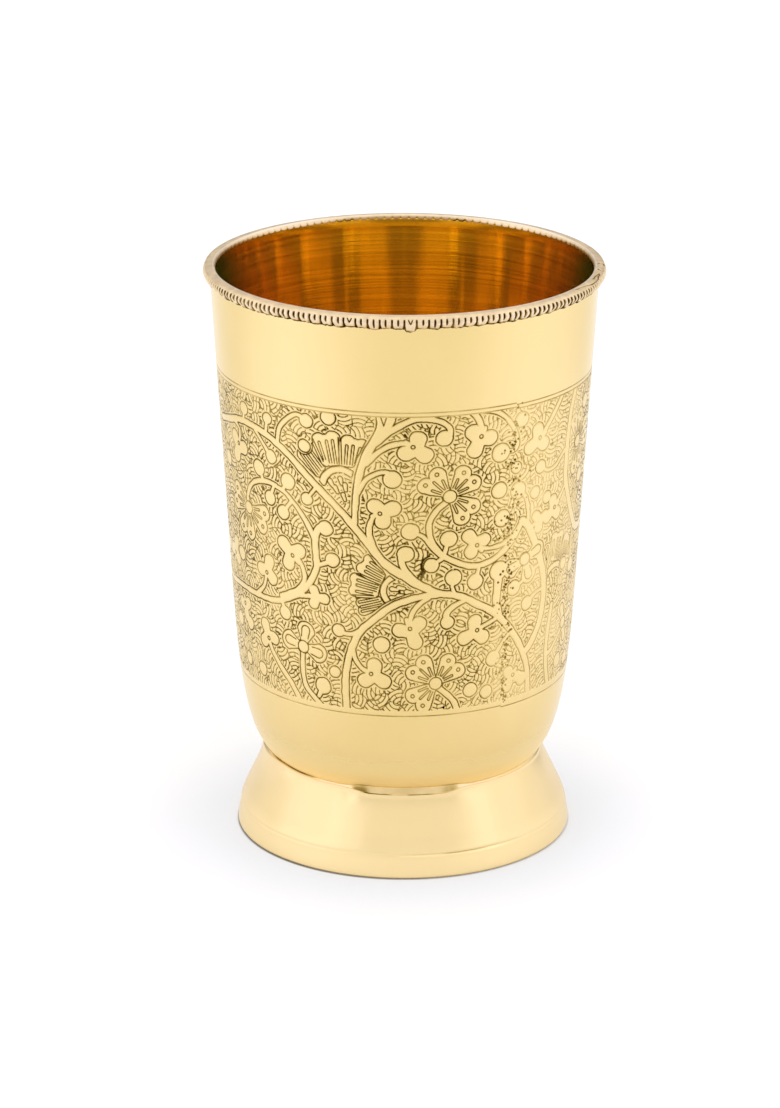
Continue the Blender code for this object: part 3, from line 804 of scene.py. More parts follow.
def fill_ground(plate, rng, near):
    """Distance to the ground's arcs and the way in which it grows, then distances to its walls and bars."""
    seeds = scatter_seeds(plate, rng)
    nearest, second, owner = nearest_seeds(plate, seeds)
    sway = plate.noise(rng, SWAY_SPACING)
    columns = np.searchsorted(plate.across, seeds[:, 0]).clip(0, len(plate.across) - 1)
    rows = np.searchsorted(-plate.heights, -seeds[:, 1]).clip(0, len(plate.heights) - 1)
    slope_x, slope_y = plate.slopes(near)
    along_edge = np.arctan2(slope_y, slope_x)[rows, columns] + math.pi / 2
    free = 2 * math.tau * sway[rows, columns]
    headings = np.where(near[rows, columns] < FOLLOWS_EDGE, along_edge, free)
    headings += rng.normal(0, HEADING_SPREAD, len(seeds))
    hubs = seeds + ARC_LEAN * np.stack((np.cos(headings), np.sin(headings)), 1)
    x = plate.across[None, :] - hubs[owner, 0]
    y = plate.heights[:, None] - hubs[owner, 1]
    away = np.maximum(np.hypot(x, y), TINY)
    off = (away / ARC_PITCH + 0.5) % 1 - 0.5
    band = np.floor(away / ARC_PITCH)
    # A value from 0 to 1 that looks random but is fixed for each stretch between two arcs of a patch
    shuffle = np.sin(owner * 12.9898 + band * 78.233) * 437.585
    shuffle -= np.floor(shuffle)
    step = BAR_STEP / ((band + 0.5) * ARC_PITCH)
    turn = (np.arctan2(y, x) / step + 7 * shuffle) % 1
    bars = np.where(shuffle > WITHOUT_BARS, np.abs(turn - 0.5) * step * away, FAR)
    return off * ARC_PITCH, (x / away, y / away), (second - nearest) / 2, bars


def engrave():
    """Heights of the front cell's rows, then its points' depth in mm, darkness (below zero where a painted
    sheen lightens it) and nudges along the sheet.
    """
    rng = np.random.default_rng(ENGRAVING_SEED)
    plate, fans, stains = Plate(), Plate(), Plate()
    draw_motifs(plate)
    for fan in FANS:
        draw_fan(fans, *fan)
    for spots, start_half, end_half in STAINS:
        stains.cover(smooth_path([place(*spot) for spot in spots], STAIN_STEP), start_half, end_half)
    behind = np.maximum(fans.edge, FAN_GAP - plate.edge)
    inside_lines = np.where(plate.edge < INSIDE_LINES, plate.line, FAR)
    fan_lines = np.where(behind < FAN_LINES, fans.line, FAR)
    arcs, to_arcs, walls, bars = fill_ground(plate, rng, np.minimum(plate.edge, behind))
    wobble = WOBBLE[0] * (plate.noise(rng, WOBBLE[1]) - 0.5)
    plate.edge += wobble
    behind += wobble
    near = np.minimum(plate.edge, behind)
    ground = held((near - GROUND_START) / GROUND_FADE)
    stain = held(1 - stains.edge / STAIN_FADE) * held(near / STAIN_CLEAR)
    thick = 1 + THICKER_NEAR[0] * held(THICKER_NEAR[1] - near)
    thick += THICKNESS_DRIFT[0] * (plate.noise(rng, THICKNESS_DRIFT[1]) - 0.5)
    figures = (plate.edge, OUTLINE_CUT), (behind, FAN_CUT), (inside_lines, LINE_CUT), (fan_lines, LINE_CUT)
    strokes = (walls, WALL_CUT), (bars, BAR_CUT)
    layers = [(away, plate.slopes(away), cut, 1, 1) for away, cut in figures]
    layers.append((arcs, to_arcs, ARC_CUT, thick, ground))
    layers += [(away, plate.slopes(away), cut, thick, ground) for away, cut in strokes]
    depth, dark, nudge_x, nudge_y = (np.zeros_like(near) for _ in range(4))
    for away, (along, up), (half_width, dirt_half, deepest, darkest), wider, weight in layers:
        off = np.abs(away)
        shape = held(1 - (off / half_width) ** CUT_ROUND) * weight
        dirt = held(1 - (off / (dirt_half * wider)) ** DIRT_ROUND) * weight
        deeper = shape * deepest > depth
        snap = deeper & (off < SNAP * plate.step_x) & (weight > 0.5)
        depth = np.where(deeper, shape * deepest, depth)
        depth = np.where(snap, deepest * weight, depth)
        dark = np.maximum(dark, dirt * darkest)
        dark = np.where(snap, np.maximum(dark, darkest * weight), dark)
        nudge_x = np.where(snap, -away * along, nudge_x)
        nudge_y = np.where(snap, -away * up, nudge_y)
    dark = np.maximum(dark, stain)
    # Painted sheen: the ground and the figures are lightened towards the painted highlight colour
    dark -= PAINTED_SHEEN * (FIGURE_SHEEN + (1 - FIGURE_SHEEN) * ground) * (1 - dark)
    in_band = (plate.heights < PATTERN_HIGH) & (plate.heights > PATTERN_LOW)
    fields = depth, dark, nudge_x, nudge_y
    for field in fields:
        field[~in_band] = 0
    return plate.heights, fields


def mirrored_columns():
    """For each column of the full turn, the column of the front cell that it repeats."""
    column = np.arange(FINE_COLUMNS)
    seam = round(SEAMS[1] * FINE_COLUMNS / 360)
    offset = np.where(column <= seam, column, column - FINE_COLUMNS)
    offset = np.where(offset > CELL_COLUMNS, 2 * CELL_COLUMNS - offset, offset)
    return np.where(offset < -CELL_COLUMNS, -2 * CELL_COLUMNS - offset, offset) + CELL_COLUMNS


def seam_marks(degrees, heights, depth, dark):
    """Ragged specks where the two ends of the resist sheet met."""
    rng = np.random.default_rng(SEAM_SEED)
    for seam in SEAMS:
        for index in range(SEAM_SPECKS):
            level = rng.uniform(PATTERN_LOW - 0.6, PATTERN_HIGH + 0.8)
            drift = sum(width * math.sin(rate * level + start) for width, rate, start in SEAM_DRIFT)
            turn = rng.normal(seam + drift, SPECK_SPREADS[index % 2])
            size = rng.uniform(*SPECK_SIZES)
            x = from_middle(degrees, turn) * MM_PER_DEGREE
            y = heights - level
            near_x, near_y = np.abs(x) < 1, np.abs(y) < 1
            box = np.ix_(near_y, near_x)
            speck = held(1.3 - np.hypot(x[near_x][None, :], y[near_y][:, None]) / size)
            depth[box] = np.maximum(depth[box], SPECK_CUT[0] * speck)
            dark[box] = np.maximum(dark[box], SPECK_CUT[1] * speck)


def band_relief():
    """The band all round: its columns and rows, then depth, darkness and nudges of every point."""
    heights, fields = engrave()
    columns = mirrored_columns()
    depth, dark, nudge_x, nudge_y = (field[:, columns] for field in fields)
    nudge_x *= np.where(np.diff(np.append(columns, columns[0])) < 0, -1, 1)
    degrees = np.arange(FINE_COLUMNS) * 360 / FINE_COLUMNS
    worn = WORN_AWAY * plateau((degrees - SEAMS[0] + WORN_BEFORE) % 180, *WORN_RUN)
    dark = np.where(dark > 0, dark * (1 - worn), dark)
    seam_marks(degrees, heights, depth, dark)
    reach, slip = BORDER_SLIP
    slipped = np.where(np.abs(from_middle(degrees, SEAMS[0] + reach)) < reach, slip, 0)
    for line in BORDER_LINES:
        groove = held(1 - np.abs(heights[:, None] - line - slipped) / BORDER_HALF)
        depth = np.maximum(depth, BORDER_CUT[0] * groove)
        dark = np.maximum(dark, BORDER_CUT[1] * groove)
    return degrees, heights, depth, dark, nudge_x, nudge_y


def bowl_outline():
    """Radius and height down the bowl's outer face, from under the lip to the middle of its bottom."""
    lip = np.array((LIP_RADIUS, LIP_TOP - SHEET / 2))
    belly_top, seat = np.array(BELLY_TOP), np.array(SEAT)
    taper = (belly_top - lip) / np.linalg.norm(belly_top - lip)
    turned_in = -np.array((math.cos(SEAT_SLOPE), math.sin(SEAT_SLOPE)))
    belly_end = seat - BELLY_END_REACH * turned_in
    bottom_start = seat + SEAT_REACH * turned_in
    wall = np.linspace(lip, belly_top, OUTLINE_POINTS)
    belly = bezier(belly_top, belly_top + BELLY_REACH * taper, belly_end, seat, OUTLINE_POINTS)
    bottom = bezier(seat, bottom_start, (seat[0] / 2, BOTTOM_HEIGHT), (0, BOTTOM_HEIGHT), OUTLINE_POINTS)
    return np.vstack((wall, belly[1:], bottom[1:]))


def offset_inside(points, distance):
    """An outline that runs down its outer side, moved inwards by a sheet's thickness."""
    run = np.gradient(points, axis=0)
    run /= np.linalg.norm(run, axis=1)[:, None]
    moved = points + distance * np.stack((run[:, 1], -run[:, 0]), 1)
    moved[:, 0] = np.maximum(moved[:, 0], 0)
    return moved


def thin_out(points, spacing):
    """The same outline with its points about a spacing apart."""
    steps = np.linalg.norm(np.diff(points, axis=0), axis=1)
    along = np.concatenate(([0], np.cumsum(steps)))
    wanted = np.linspace(0, along[-1], max(2, round(along[-1] / spacing)) + 1)
    return np.stack([np.interp(wanted, along, values) for values in points.T], 1)


class Lathe:
    """Rings of points joined into one closed skin, with a round-the-axis unwrapping."""

    def __init__(self):
        self.points, self.marks = [], []
        self.faces, self.uvs, self.slots = [], [], []
        self.count = 0

    def ring(self, radius, height, angle, marks=0.0):
        """Adds a ring of points, and returns the first one's number and how many there are."""
        x, y = radius * np.sin(angle), -radius * np.cos(angle)
        self.points.append(np.stack(np.broadcast_arrays(x, y, height), 1))
        self.marks.append(np.broadcast_to(marks, len(angle)))
        self.count += len(angle)
        return self.count - len(angle), len(angle)

    def even_ring(self, radius, height):
        """A plain ring, or one point where it has shrunk to the axis."""
        if radius < ON_AXIS:
            return self.ring(0, height, np.zeros(1))
        return self.ring(radius, height, even_turn(COARSE_COLUMNS))

    def skin(self, rings, inside=0, closed=True):
        """Joins each ring to the next. As many strips as inside says take the second material."""
        strips = len(rings) if closed else len(rings) - 1
        for index in range(strips):
            lower = rings[(index + 1) % len(rings)]
            self.join(rings[index], lower, int(index < inside), 1 - index / strips, 1 - (index + 1) / strips)

    def join(self, upper, lower, slot, v_upper, v_lower):
        """Faces between two rings, where the one may have a whole multiple of the other's points."""
        (a, n), (b, m) = upper, lower
        if n == m:
            left = np.arange(n)
            right = (left + 1) % n
            faces = np.stack((a + left, b + left, b + right, a + right), 1)
            u = np.stack((left, left, left + 1, left + 1), 1) / n
            self.add(faces, u, (v_upper, v_lower, v_lower, v_upper), slot)
        elif n > m:
            self.fan(upper, lower, slot, v_upper, v_lower, 1)
        else:
            self.fan(lower, upper, slot, v_lower, v_upper, -1)

    def fan(self, fine, coarse, slot, v_fine, v_coarse, order):
        """Triangles between a fine ring and a coarse one or a pole."""
        (a, n), (b, m) = fine, coarse
        each = n // m
        left = np.arange(n)
        hub = left // each
        hub_u = hub / m if m > 1 else (left + 0.5) / n
        faces = np.stack((a + left, b + hub, a + (left + 1) % n), 1)
        u = np.stack((left / n, hub_u, (left + 1) / n), 1)
        self.add(faces[:, ::order], u[:, ::order], (v_fine, v_coarse, v_fine), slot)
        if m > 1:
            hub = np.arange(m)
            faces = np.stack((b + hub, b + (hub + 1) % m, a + (hub + 1) * each % n), 1)
            u = np.stack((hub, hub + 1, hub + 1), 1) / m
            self.add(faces[:, ::order], u[:, ::order], (v_coarse, v_coarse, v_fine)[::order], slot)

    def add(self, faces, u, v, slot):
        self.faces.append(faces)
        self.uvs.append(np.stack((u, np.broadcast_to(v, u.shape)), 2))
        self.slots.append(np.full(len(faces), slot))

    def build(self, name, materials, mark_name):
        mesh = bpy.data.meshes.new(name)
        points = np.vstack(self.points) * MM
        corners = np.concatenate([block.ravel() for block in self.faces])
        sizes = np.concatenate([np.full(len(block), block.shape[1]) for block in self.faces])
        starts = np.concatenate(([0], np.cumsum(sizes)[:-1]))
        mesh.vertices.add(len(points))
        mesh.loops.add(len(corners))
        mesh.polygons.add(len(sizes))
        mesh.vertices.foreach_set("co", points.astype(np.float32).ravel())
        mesh.loops.foreach_set("vertex_index", corners.astype(np.int32))
        mesh.polygons.foreach_set("loop_start", starts.astype(np.int32))
        mesh.polygons.foreach_set("material_index", np.concatenate(self.slots).astype(np.int32))
        mesh.update(calc_edges=True)
        layer = mesh.uv_layers.new(name="OFBake")
        uv = np.vstack([block.reshape(-1, 2) for block in self.uvs])
        layer.uv.foreach_set("vector", uv.astype(np.float32).ravel())
        marks = mesh.attributes.new(mark_name, "FLOAT", "POINT")
        marks.data.foreach_set("value", np.concatenate(self.marks).astype(np.float32))
        mesh.shade_smooth()
        for material in materials:
            mesh.materials.append(material)
        return add_object(name, mesh)


def make_bowl(outside, inside):
    """Spun bowl: plain rings up the inside and over the lip, fine ones down the band, plain ones below."""
    degrees, heights, depth, dark, nudge_x, nudge_y = band_relief()
    outline = bowl_outline()
    lathe = Lathe()
    rings = [lathe.even_ring(*spot) for spot in thin_out(offset_inside(outline, SHEET), INSIDE_STEP)[::-1]]
    inner_strips = len(rings)
    lip = np.array((LIP_RADIUS - SHEET / 2, LIP_TOP - SHEET / 2))
    above = outline[outline[:, 1] > BAND_HIGH + BAND_MARGIN]
    for spot in np.vstack((arc_path(lip, SHEET / 2, 180, 0, 11)[1:-1], thin_out(above, ABOVE_STEP))):
        rings.append(lathe.even_ring(*spot))
    by_height = outline[::-1]
    for index, height in enumerate(heights):
        angle = np.radians(degrees + nudge_x[index] / MM_PER_DEGREE)
        level = height + nudge_y[index]
        radius = np.interp(level, by_height[:, 1], by_height[:, 0]) - depth[index]
        rings.append(lathe.ring(radius, level, angle, dark[index]))
    below = outline[(outline[:, 1] < BAND_LOW - BAND_MARGIN) | (outline[:, 0] < SEAT[0])]
    rings.extend(lathe.even_ring(*spot) for spot in thin_out(below, BELOW_STEP))
    lathe.skin(rings, inner_strips, closed=False)
    return lathe.build("engraved_bowl", (outside, inside), "engraving_and_painted_sheen")


def make_foot(material):
    """Spun foot with a rolled hem. At the front its edge dips below a sloping collar."""
    angle = even_turn(FOOT_COLUMNS)
    degrees = from_middle(np.degrees(angle), 0)
    dip, sunk, gap, collar, dirt, shade, light, scored = (
        stretches(degrees, spans) for spans in (SEAT_DIP, SEAT_SUNK, SEAT_GAP, COLLAR_TONE, SEAT_DIRT,
                                                SEAT_SHADE, SEAT_LIGHT, CREASE_DIRT))
    shut = 1 - stretches(degrees, SEAT_OPEN)
    creased = CREASE_SHALLOW + stretches(degrees, CREASE_DEEP)
    flare = bezier(FOOT_TOP, FOOT_TOP_PULL, CREASE_PULL, CREASE, 40)
    edge_centre = np.array((FOOT_RADIUS - FOOT_EDGE_ROUND, FOOT_EDGE_ROUND))
    base = bezier(BASE_TOP, *BASE_PULLS, (FOOT_RADIUS, FOOT_EDGE_ROUND), 14)
    edge = arc_path(edge_centre, FOOT_EDGE_ROUND, 0, -90, 8)[1:]
    hem_inside = FOOT_RADIUS - HEM_WIDTH
    hem = ((hem_inside + HEM_BEVEL, 0), (hem_inside, HEM_BEVEL), (hem_inside, HEM_HEIGHT - HEM_BEVEL),
           (hem_inside + HEM_BEVEL, HEM_HEIGHT), (CREASE[0] - SHEET - HEM_BEVEL, HEM_HEIGHT))
    lathe = Lathe()
    rings = []

    def ring(radius, height, lower=0.0, sink=1.0, inward=0.0, cut=0.0, mark=0.0):
        reach = radius - cut * creased - inward * sunk
        rings.append(lathe.ring(reach, height - lower * dip - sink * sunk, angle, mark))

    def near_top(height):
        return held((height - SINK_START) / SINK_RUN) ** 2

    for radius, height in flare:
        near = near_top(height)
        ring(radius, height, near, near, FLARE_INWARD * near ** 1.5)
    for share, cut, dark in CREASE_RINGS:
        radius, height = (1 - share) * np.array(CREASE) + share * np.array(BASE_TOP)
        ring(radius, height, sink=0, cut=cut, mark=dark * scored)
    for radius, height in np.vstack((base, edge, hem, offset_inside(flare, SHEET)[::-1])):
        near = near_top(height)
        ring(radius, height, sink=near, inward=LINING_INWARD * near ** 1.5)
    for inset, up, shut_drop, gap_drop, lower, inward, *marks in SEAT_RINGS:
        height = FOOT_TOP[1] + up - shut_drop * shut - gap_drop * gap
        # The shade and gap marks paint shade, and the light mark is taken off to paint a highlight
        tones = [strength * field for strength, field in zip(marks, (collar, shade, gap, dirt, light))]
        mark = np.maximum(tones[0], tones[1]) + tones[2] + tones[3] - tones[4]
        ring(FOOT_TOP[0] - inset, height, lower, inward=inward, mark=mark)
    lathe.skin(rings)
    return lathe.build("spun_foot", (material,), "seat_marks_and_painted_light")


def ragged(rng, count, spacing):
    """Random values from -1 to 1 round a ring of points, changing over a number of points."""
    knots = rng.uniform(-1, 1, count // spacing)
    at = np.arange(count) * len(knots) / count
    left = at.astype(int)
    share = eased(at - left)
    return knots[left] * (1 - share) + knots[(left + 1) % len(knots)] * share


def crack_depth(degrees, reach):
    """How far the joint's cracks are cut, from 0 to 1, round a ring a given distance out from the lip."""
    spots = np.stack((degrees * WIRE_MM_PER_DEGREE, np.full(len(degrees), reach)), 1)
    cracked = np.zeros(len(degrees))
    for crack in CRACKS:
        corners = np.array(crack) * (WIRE_MM_PER_DEGREE, 1)
        for start, run in zip(corners, np.diff(corners, axis=0)):
            share = held((spots - start) @ run / (run @ run))
            away = np.linalg.norm(spots - start - share[:, None] * run, axis=1)
            cracked = np.maximum(cracked, held(1.4 - away / CRACK_HALF))
    return cracked


def flange_rings(ring, degrees, from_front):
    """Serrated inner edge of the rim's channel, from inside the bowl's wall up to the top."""
    wall = LIP_RADIUS - SHEET
    tooth = held(1 - np.abs(degrees * INNER_TEETH / 360 % 1 - 0.5) / TOOTH_HALF)
    low = HEIGHT - FLANGE_HEIGHT + TOOTH_LIFT * tooth
    dark_edge = stretches(degrees, FLANGE_OPEN)
    upright = np.maximum(stretches(degrees, UPRIGHT_BACK), stretches(from_front, UPRIGHT_SIDES))
    toe = wall - FLANGE_REACH + FLANGE_UPRIGHT * upright
    rings = [ring(wall + 0.1, low - 0.05, 0.6),
             ring(toe, low, np.maximum(0.6 * tooth, dark_edge)),
             ring(toe, low + 0.08, np.maximum(0.65 * tooth - 0.2, dark_edge))]
    for inward, below, ticks, highlight in FLANGE_RINGS:
        mark = ticks * tooth - highlight * (1 - 0.6 * upright)
        rings.append(ring(np.maximum(wall - inward, toe), HEIGHT - below, mark))
    return rings


def make_rim(material):
    """Channel over the lip: inner flange, flat top with the joint, and split lobes down its outer side."""
    rng = np.random.default_rng(RIM_SEED)
    columns = LOBES * POINTS_PER_LOBE
    lobe, step = np.divmod(np.arange(columns), POINTS_PER_LOBE)
    share = step / POINTS_PER_LOBE
    angle = even_turn(columns)
    degrees = np.degrees(angle)
    from_front = 180 - np.abs(degrees - 180)
    plain = np.isin(lobe, PLAIN_LOBES)
    from_end = np.minimum(share, 1 - share)
    from_split = np.abs(share - 0.5 - rng.uniform(-SPLIT_SHIFT, SPLIT_SHIFT, LOBES)[lobe])
    split_end = rng.uniform(*SPLIT_ENDS, LOBES)[lobe]
    drop = rng.uniform(-TOE_UNEVEN, TOE_UNEVEN, LOBES)
    drop[0] = -LONG_TOE
    toe_lift = drop[lobe] * held(from_end / TOE_CORNER) + TOE_RAGGED * ragged(rng, columns, 7)
    unevenness = 0.5 + 0.5 * ragged(rng, columns, 11)
    spread = 1 + SIDE_SPREAD * np.sin(angle) ** 2
    side_shading = stretches(from_front, SIDE_SHADING)
    swell = held(1 - np.minimum(from_end, np.where(plain, 1, from_split)) / SWELL_HALF) ** 2
    lathe = Lathe()

    def ring(radius, height, mark):
        return lathe.ring(radius, height, angle, mark)

    rings = flange_rings(ring, degrees, from_front)
    for reach in np.linspace(*WIRE_TOP, 13):
        cracked = crack_depth(degrees, reach)
        height = HEIGHT - CROWN[0] - CROWN[1] * ((reach - CROWN_START) / CROWN_RUN) ** 2
        rings.append(ring(WIRE_BACK + reach, height - CRACK_DEPTH * cracked, 0.95 * cracked))
    # Down the outer side, t runs from 0 at the shoulder to 1 at the lobes' toes
    for t in np.arange(WIRE_ROWS) / (WIRE_ROWS - 1):
        inward = SHOULDER_IN * max(0, 1 - t / SHOULDER_END) ** 2
        inward += TOE_IN * max(0, (t - TOE_START) / (1 - TOE_START)) ** 1.5
        milled = held((t - MILLING_START) / MILLING_FADE)
        groove = GROOVE_HALF + GROOVE_FLARE * max(0, 2 * t - 1) ** 1.5
        slit = SLIT_HALF + SLIT_SWELL * np.sin(math.pi * held(t / split_end))
        from_groove, from_slit = from_end / spread / groove, from_split / spread / slit
        cut_in = held((split_end - t) / MILLING_FADE)
        notch_away = np.abs(np.abs(share - 0.5) - NOTCH_SPREAD * (1 - t / NOTCH_END))
        notch = held(LINE_REACH - notch_away / NOTCH_HALF) * (t < NOTCH_END)
        # Dirt in the cuts, drawn wider at the sides as painted shade on the cuts' walls
        line, groove_dirt_and_shade = (np.maximum(held(reach - from_groove),
                                  np.where(plain, notch, held(reach - from_slit) * cut_in))
                       for reach in (LINE_REACH, LINE_REACH + side_shading))
        radius = WIRE_RADIUS - inward - milled * (GROOVE_DEPTH * line + SWELL_DEPTH * swell)
        height = HEIGHT - WIRE_SHOULDER - t * (WIRE_HEIGHT - WIRE_SHOULDER) + toe_lift * t ** 3
        under = max(0, (t - UNDER_START) / UNDER_FADE) * (UNDER_DARK[0] + UNDER_DARK[1] * unevenness)
        dark = held(np.maximum(milled * groove_dirt_and_shade, under))
        # Painted highlight on the lobes, stronger at the sides
        highlight = (LOBE_HIGHLIGHT[0] + LOBE_HIGHLIGHT[1] * side_shading) * milled
        rings.append(ring(radius, height, dark - highlight * (1 - dark)))
    toe = HEIGHT - WIRE_HEIGHT + toe_lift
    rings.append(ring(WIRE_BACK + 0.1, toe, 0.9))
    rings.append(ring(WIRE_BACK - 0.1, toe + 0.1, 0.9))
    lathe.skin(rings)
    return lathe.build("milled_rim", (material,), "milling_and_painted_light")


class Nodes:
    """Short way to add and link the nodes of one material or of the world."""

    def __init__(self, owner):
        owner.use_nodes = True
        self.owner = owner
        self.tree = owner.node_tree
        self.shader = self.tree.nodes.get("Principled BSDF", self.tree.nodes.get("Background"))

    def feed(self, node, inputs):
        """Links each named input to a socket, or sets it to a value or a colour."""
        for name, value in dict(inputs).items():
            socket = node.inputs[name]
            if isinstance(value, bpy.types.NodeSocket):
                self.tree.links.new(value, socket)
            else:
                socket.default_value = (*value, 1) if socket.type == "RGBA" else value

    def add(self, kind, inputs=(), **settings):
        node = self.tree.nodes.new("ShaderNode" + kind)
        for name, value in settings.items():
            setattr(node, name, value)
        self.feed(node, inputs)
        return node

    def spot(self, system="Object"):
        return self.add("TexCoord").outputs[system]

    def parts(self, vector):
        """X, Y and Z of a vector."""
        return self.add("SeparateXYZ", {"Vector": vector}).outputs

    def noise(self, scale, detail, stretch=(1, 1, 1)):
        mapped = self.add("Mapping", {"Vector": self.spot(), "Scale": stretch}).outputs["Vector"]
        return self.add("TexNoise", {"Vector": mapped, "Scale": scale, "Detail": detail}).outputs["Fac"]

    def math(self, operation, *values, **settings):
        return self.add("Math", enumerate(values), operation=operation, **settings).outputs["Value"]

    def mix(self, factor, first, second):
        """A blend of two colours."""
        return self.add("Mix", {0: factor, 6: first, 7: second}, data_type="RGBA").outputs[2]

    def blend(self, factor, first, second):
        """A blend of two numbers."""
        return self.add("Mix", {0: factor, 2: first, 3: second}).outputs[0]

    def span(self, value, low, high, to_low, to_high, curve="LINEAR"):
        """A value moved from one range to another, and held at its ends."""
        inputs = {"Value": value, "From Min": low, "From Max": high, "To Min": to_low, "To Max": to_high}
        return self.add("MapRange", inputs, interpolation_type=curve).outputs["Result"]

    def bump(self, height, strength, distance):
        bump = self.add("Bump", {"Height": height, "Strength": strength, "Distance": distance})
        self.feed(self.shader, {"Normal": bump.outputs["Normal"]})


def brass(name, light, deep, roughness, turned=0.05, grain=0.7, lined=False, dull=0.0, mottle=70.0,
          mark=None, painted_zone=None):
    """Polished brass: a slow drift of tone, fine turned lines, dark dirt and painted shade where a mark is
    above zero, a painted highlight where it is below zero, and zones by height that paint light on the belly
    and base and shade under the lip.
    """
    nodes = Nodes(bpy.data.materials.new(name))
    lines = nodes.noise(TURNED_SCALE, 2.0, TURNED_STRETCH)
    pattern = lines if lined else nodes.noise(mottle, 4.0)
    colour = nodes.mix(nodes.span(pattern, *TONE_SPAN, 0, 1), deep, light)
    rough = nodes.span(pattern, *ROUGH_SPAN, *(roughness * share for share in ROUGH_RANGE))
    # A zone by height paints light or shade with its own tone there, and adds roughness
    if painted_zone:
        full, none, tone, rougher = painted_zone
        within = nodes.span(nodes.parts(nodes.spot())["Z"], full, none, 1, 0)
        colour = nodes.mix(within, colour, tone)
        rough = nodes.math("MULTIPLY_ADD", within, rougher, rough)
    if mark:
        value = nodes.add("Attribute", attribute_name=mark).outputs["Fac"]
        patchy = nodes.span(nodes.noise(PATCH_SCALE, 3.0), *TONE_SPAN, *PATCH_RANGE)
        cut = nodes.math("MULTIPLY", value, patchy, use_clamp=True)
        # Marks below zero paint a highlight; marks above zero give the tarnish and dirt tones, which on the
        # foot and rim also stand for painted shade
        colour = nodes.mix(nodes.span(value, -1, 0, 1, 0), colour, PAINTED_HIGHLIGHT)
        colour = nodes.mix(nodes.span(cut, *TARNISH_AND_SHADE_SPAN, 0, 1), colour, TARNISH_AND_SHADE)
        colour = nodes.mix(nodes.span(cut, *DIRT_AND_SHADE_SPAN, 0, 1), colour, DIRT_AND_SHADE)
        rough = nodes.math("MULTIPLY_ADD", cut, DIRT_AND_SHADE_ROUGHER, rough)
    tangent = nodes.add("Tangent", direction_type="RADIAL", axis="Z").outputs["Tangent"]
    nodes.feed(nodes.shader, {"Base Color": colour, "Roughness": rough, "Metallic": 1 - dull,
                              "Tangent": tangent, "Anisotropic": grain, "Anisotropic Rotation": 0.25})
    if lined:
        nodes.feed(nodes.shader, {"Specular Tint": INSIDE_TINT})
    nodes.bump(lines, turned, TURNED_DEPTH)
    return nodes.owner


def solder_metal():
    nodes = Nodes(bpy.data.materials.new("run_solder"))
    grain = nodes.noise(900.0, 5.0)
    nodes.feed(nodes.shader, {"Base Color": nodes.mix(nodes.span(grain, *ROUGH_SPAN, 0, 1), *SOLDER_TONES),
                              "Roughness": nodes.span(grain, *ROUGH_SPAN, 0.35, 0.6), "Metallic": 1.0})
    nodes.bump(grain, 0.4, 0.0002)
    return nodes.owner


def add_camera():
    pitch, yaw, roll = CAMERA_PITCH, CAMERA_YAW, CAMERA_ROLL
    ahead = Vector((math.sin(yaw) * math.cos(pitch), math.cos(yaw) * math.cos(pitch), -math.sin(pitch)))
    level = ahead.cross(Vector((0, 0, 1))).normalized()
    upright = level.cross(ahead)
    right = level * math.cos(roll) + upright * math.sin(roll)
    up = upright * math.cos(roll) - level * math.sin(roll)
    data = bpy.data.cameras.new("camera")
    data.lens = CAMERA_LENS
    data.sensor_width = SENSOR
    data.clip_start = 0.01
    camera = add_object("camera", data)
    turn = Matrix((right, up, -ahead)).transposed().to_4x4()
    camera.matrix_world = Matrix.Translation(Vector(CAMERA_PLACE) * MM) @ turn
    bpy.context.scene.camera = camera


def add_lamp(name, kind, where, energy, colour, **settings):
    data = bpy.data.lights.new(name, kind)
    data.energy = energy
    data.color = colour
    for key, value in settings.items():
        setattr(data, key, value)
    lamp = add_object(name, data)
    lamp.location = where
    return lamp


def add_softbox(name, degrees, height, size, level):
    """A softbox aimed at the cup."""
    turn = math.radians(degrees)
    where = (LAMP_DISTANCE * math.sin(turn), -LAMP_DISTANCE * math.cos(turn), height)
    energy = level * math.pi * size[0] * size[1]
    lamp = add_lamp(name, "AREA", where, energy, COOL, shape="RECTANGLE", size=size[0], size_y=size[1])
    aim = Vector(LAMP_AIM) - Vector(where)
    lamp.rotation_euler = aim.to_track_quat("-Z", "Y").to_euler()


def add_wash(name, spot):
    """A soft pool of light on the table beside the cup, which the wall mirrors."""
    lamp = add_lamp(name, "SPOT", (*spot, WASH_HEIGHT), WASH_POWER, POOL, spot_size=WASH_SPREAD,
                    spot_blend=1.0, shadow_soft_size=WASH_SOFTNESS)
    lamp.visible_glossy = False


def add_world():
    """White surroundings: a bright ceiling, and below it levels of their own for front, sides and back."""
    world = bpy.data.worlds.new("studio")
    bpy.context.scene.world = world
    nodes = Nodes(world)
    across, along, up = nodes.parts(nodes.spot("Generated"))

    def fade(value, span, to_low=0, to_high=1):
        return nodes.span(value, *span, to_low, to_high, "SMOOTHSTEP")

    sides = fade(nodes.math("ABSOLUTE", across), SIDE_FADE)
    behind = fade(along, BACK_FADE)
    front = fade(up, FRONT_FADE, FRONT_LOW_LEVEL, FRONT_LEVEL)
    low = nodes.blend(sides, nodes.blend(behind, front, BACK_LEVEL), SIDE_LEVEL)
    raised = nodes.blend(sides, nodes.blend(behind, FRONT_RAISE, BACK_RAISE), 0.0)
    high = fade(nodes.math("SUBTRACT", up, raised), CEILING_FADE)
    nodes.feed(nodes.shader, {"Strength": nodes.blend(high, low, CEILING_LEVEL), "Color": (1, 1, 1)})


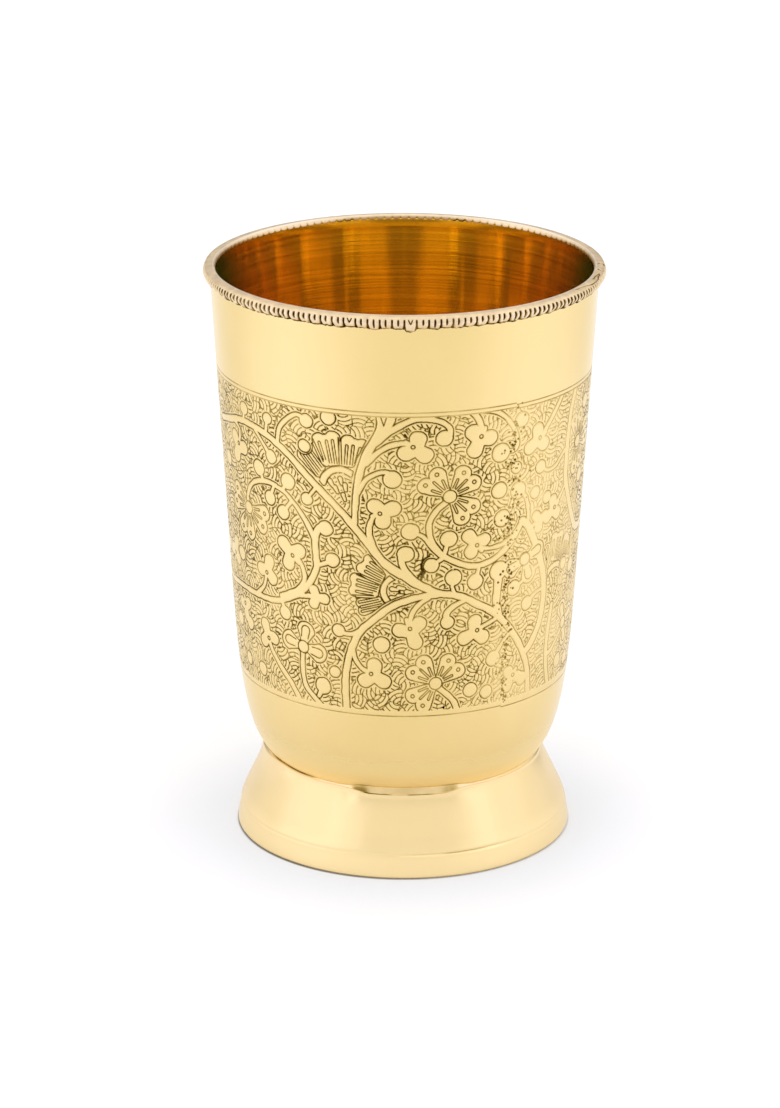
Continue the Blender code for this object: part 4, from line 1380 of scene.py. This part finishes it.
def add_floor():
    """White table, with a cooler painted shadow near the cup and a dark painted contact shadow where the foot
    touches it.
    """
    corners = [(x * FLOOR_HALF, y * FLOOR_HALF, 0) for x, y in ((-1, -1), (1, -1), (1, 1), (-1, 1))]
    mesh = bpy.data.meshes.new("floor")
    mesh.from_pydata(corners, [], [(0, 1, 2, 3)])
    floor = add_object("floor", mesh)
    nodes = Nodes(bpy.data.materials.new("white_table"))
    spot = nodes.spot()
    out = nodes.add("VectorMath", {0: spot}, operation="LENGTH").outputs["Value"]
    far = nodes.mix(nodes.span(nodes.noise(30.0, 4.0), *ROUGH_SPAN, 0, 1), *FLOOR_TONES)
    # Painted shadow round the cup, then the painted contact shadow line
    colour = nodes.mix(nodes.span(out, *SHADOW_SPAN, 1, 0), far, FLOOR_SHADOW_TONE)
    contact_shadow = nodes.math("MULTIPLY", nodes.span(out, *CONTACT_SHADOW_SPAN, 1, 0),
                          nodes.span(nodes.parts(spot)["X"], *CONTACT_SHADOW_ACROSS))
    colour = nodes.mix(contact_shadow, colour, CONTACT_SHADOW_TONE)
    nodes.feed(nodes.shader, {"Base Color": colour, "Roughness": 0.9, "Specular IOR Level": 0.1})
    mesh.materials.append(nodes.owner)


def dress(frame):
    bowl = make_bowl(
        brass("engraved_brass", *BAND_BRASS, mark="engraving_and_painted_sheen", painted_zone=UNBUFFED_PAINTED_LIGHT),
        brass("spun_inside", *INSIDE_BRASS, turned=0.4, lined=True, dull=0.025, painted_zone=UNDER_LIP_PAINTED_SHADE),
    )
    foot = make_foot(brass("polished_foot", *FOOT_BRASS, turned=0.02, mark="seat_marks_and_painted_light", painted_zone=BASE_PAINTED_LIGHT))
    rim = make_rim(brass("milled_wire", *WIRE_BRASS, grain=0.0, mottle=700.0, mark="milling_and_painted_light"))
    for piece, node, slot in ((bowl, "body_shell", "engraved_brass"), (foot, "foot_skirt", "polished_brass"),
                              (rim, "rim_wire", "milled_brass")):
        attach(piece, "root")
        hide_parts(node)
    ring = frame["nodes"]["foot_solder_ring"]
    ring.data.materials.clear()
    ring.data.materials.append(solder_metal())


def main():
    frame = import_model()
    bpy.context.scene.view_settings.view_transform = "Standard"
    bpy.context.scene.cycles.glossy_bounces = MIRROR_BOUNCES
    add_camera()
    add_world()
    add_floor()
    for softbox in SOFTBOXES:
        add_softbox(*softbox)
    for wash in WASHES:
        add_wash(*wash)
    dress(frame)


main()
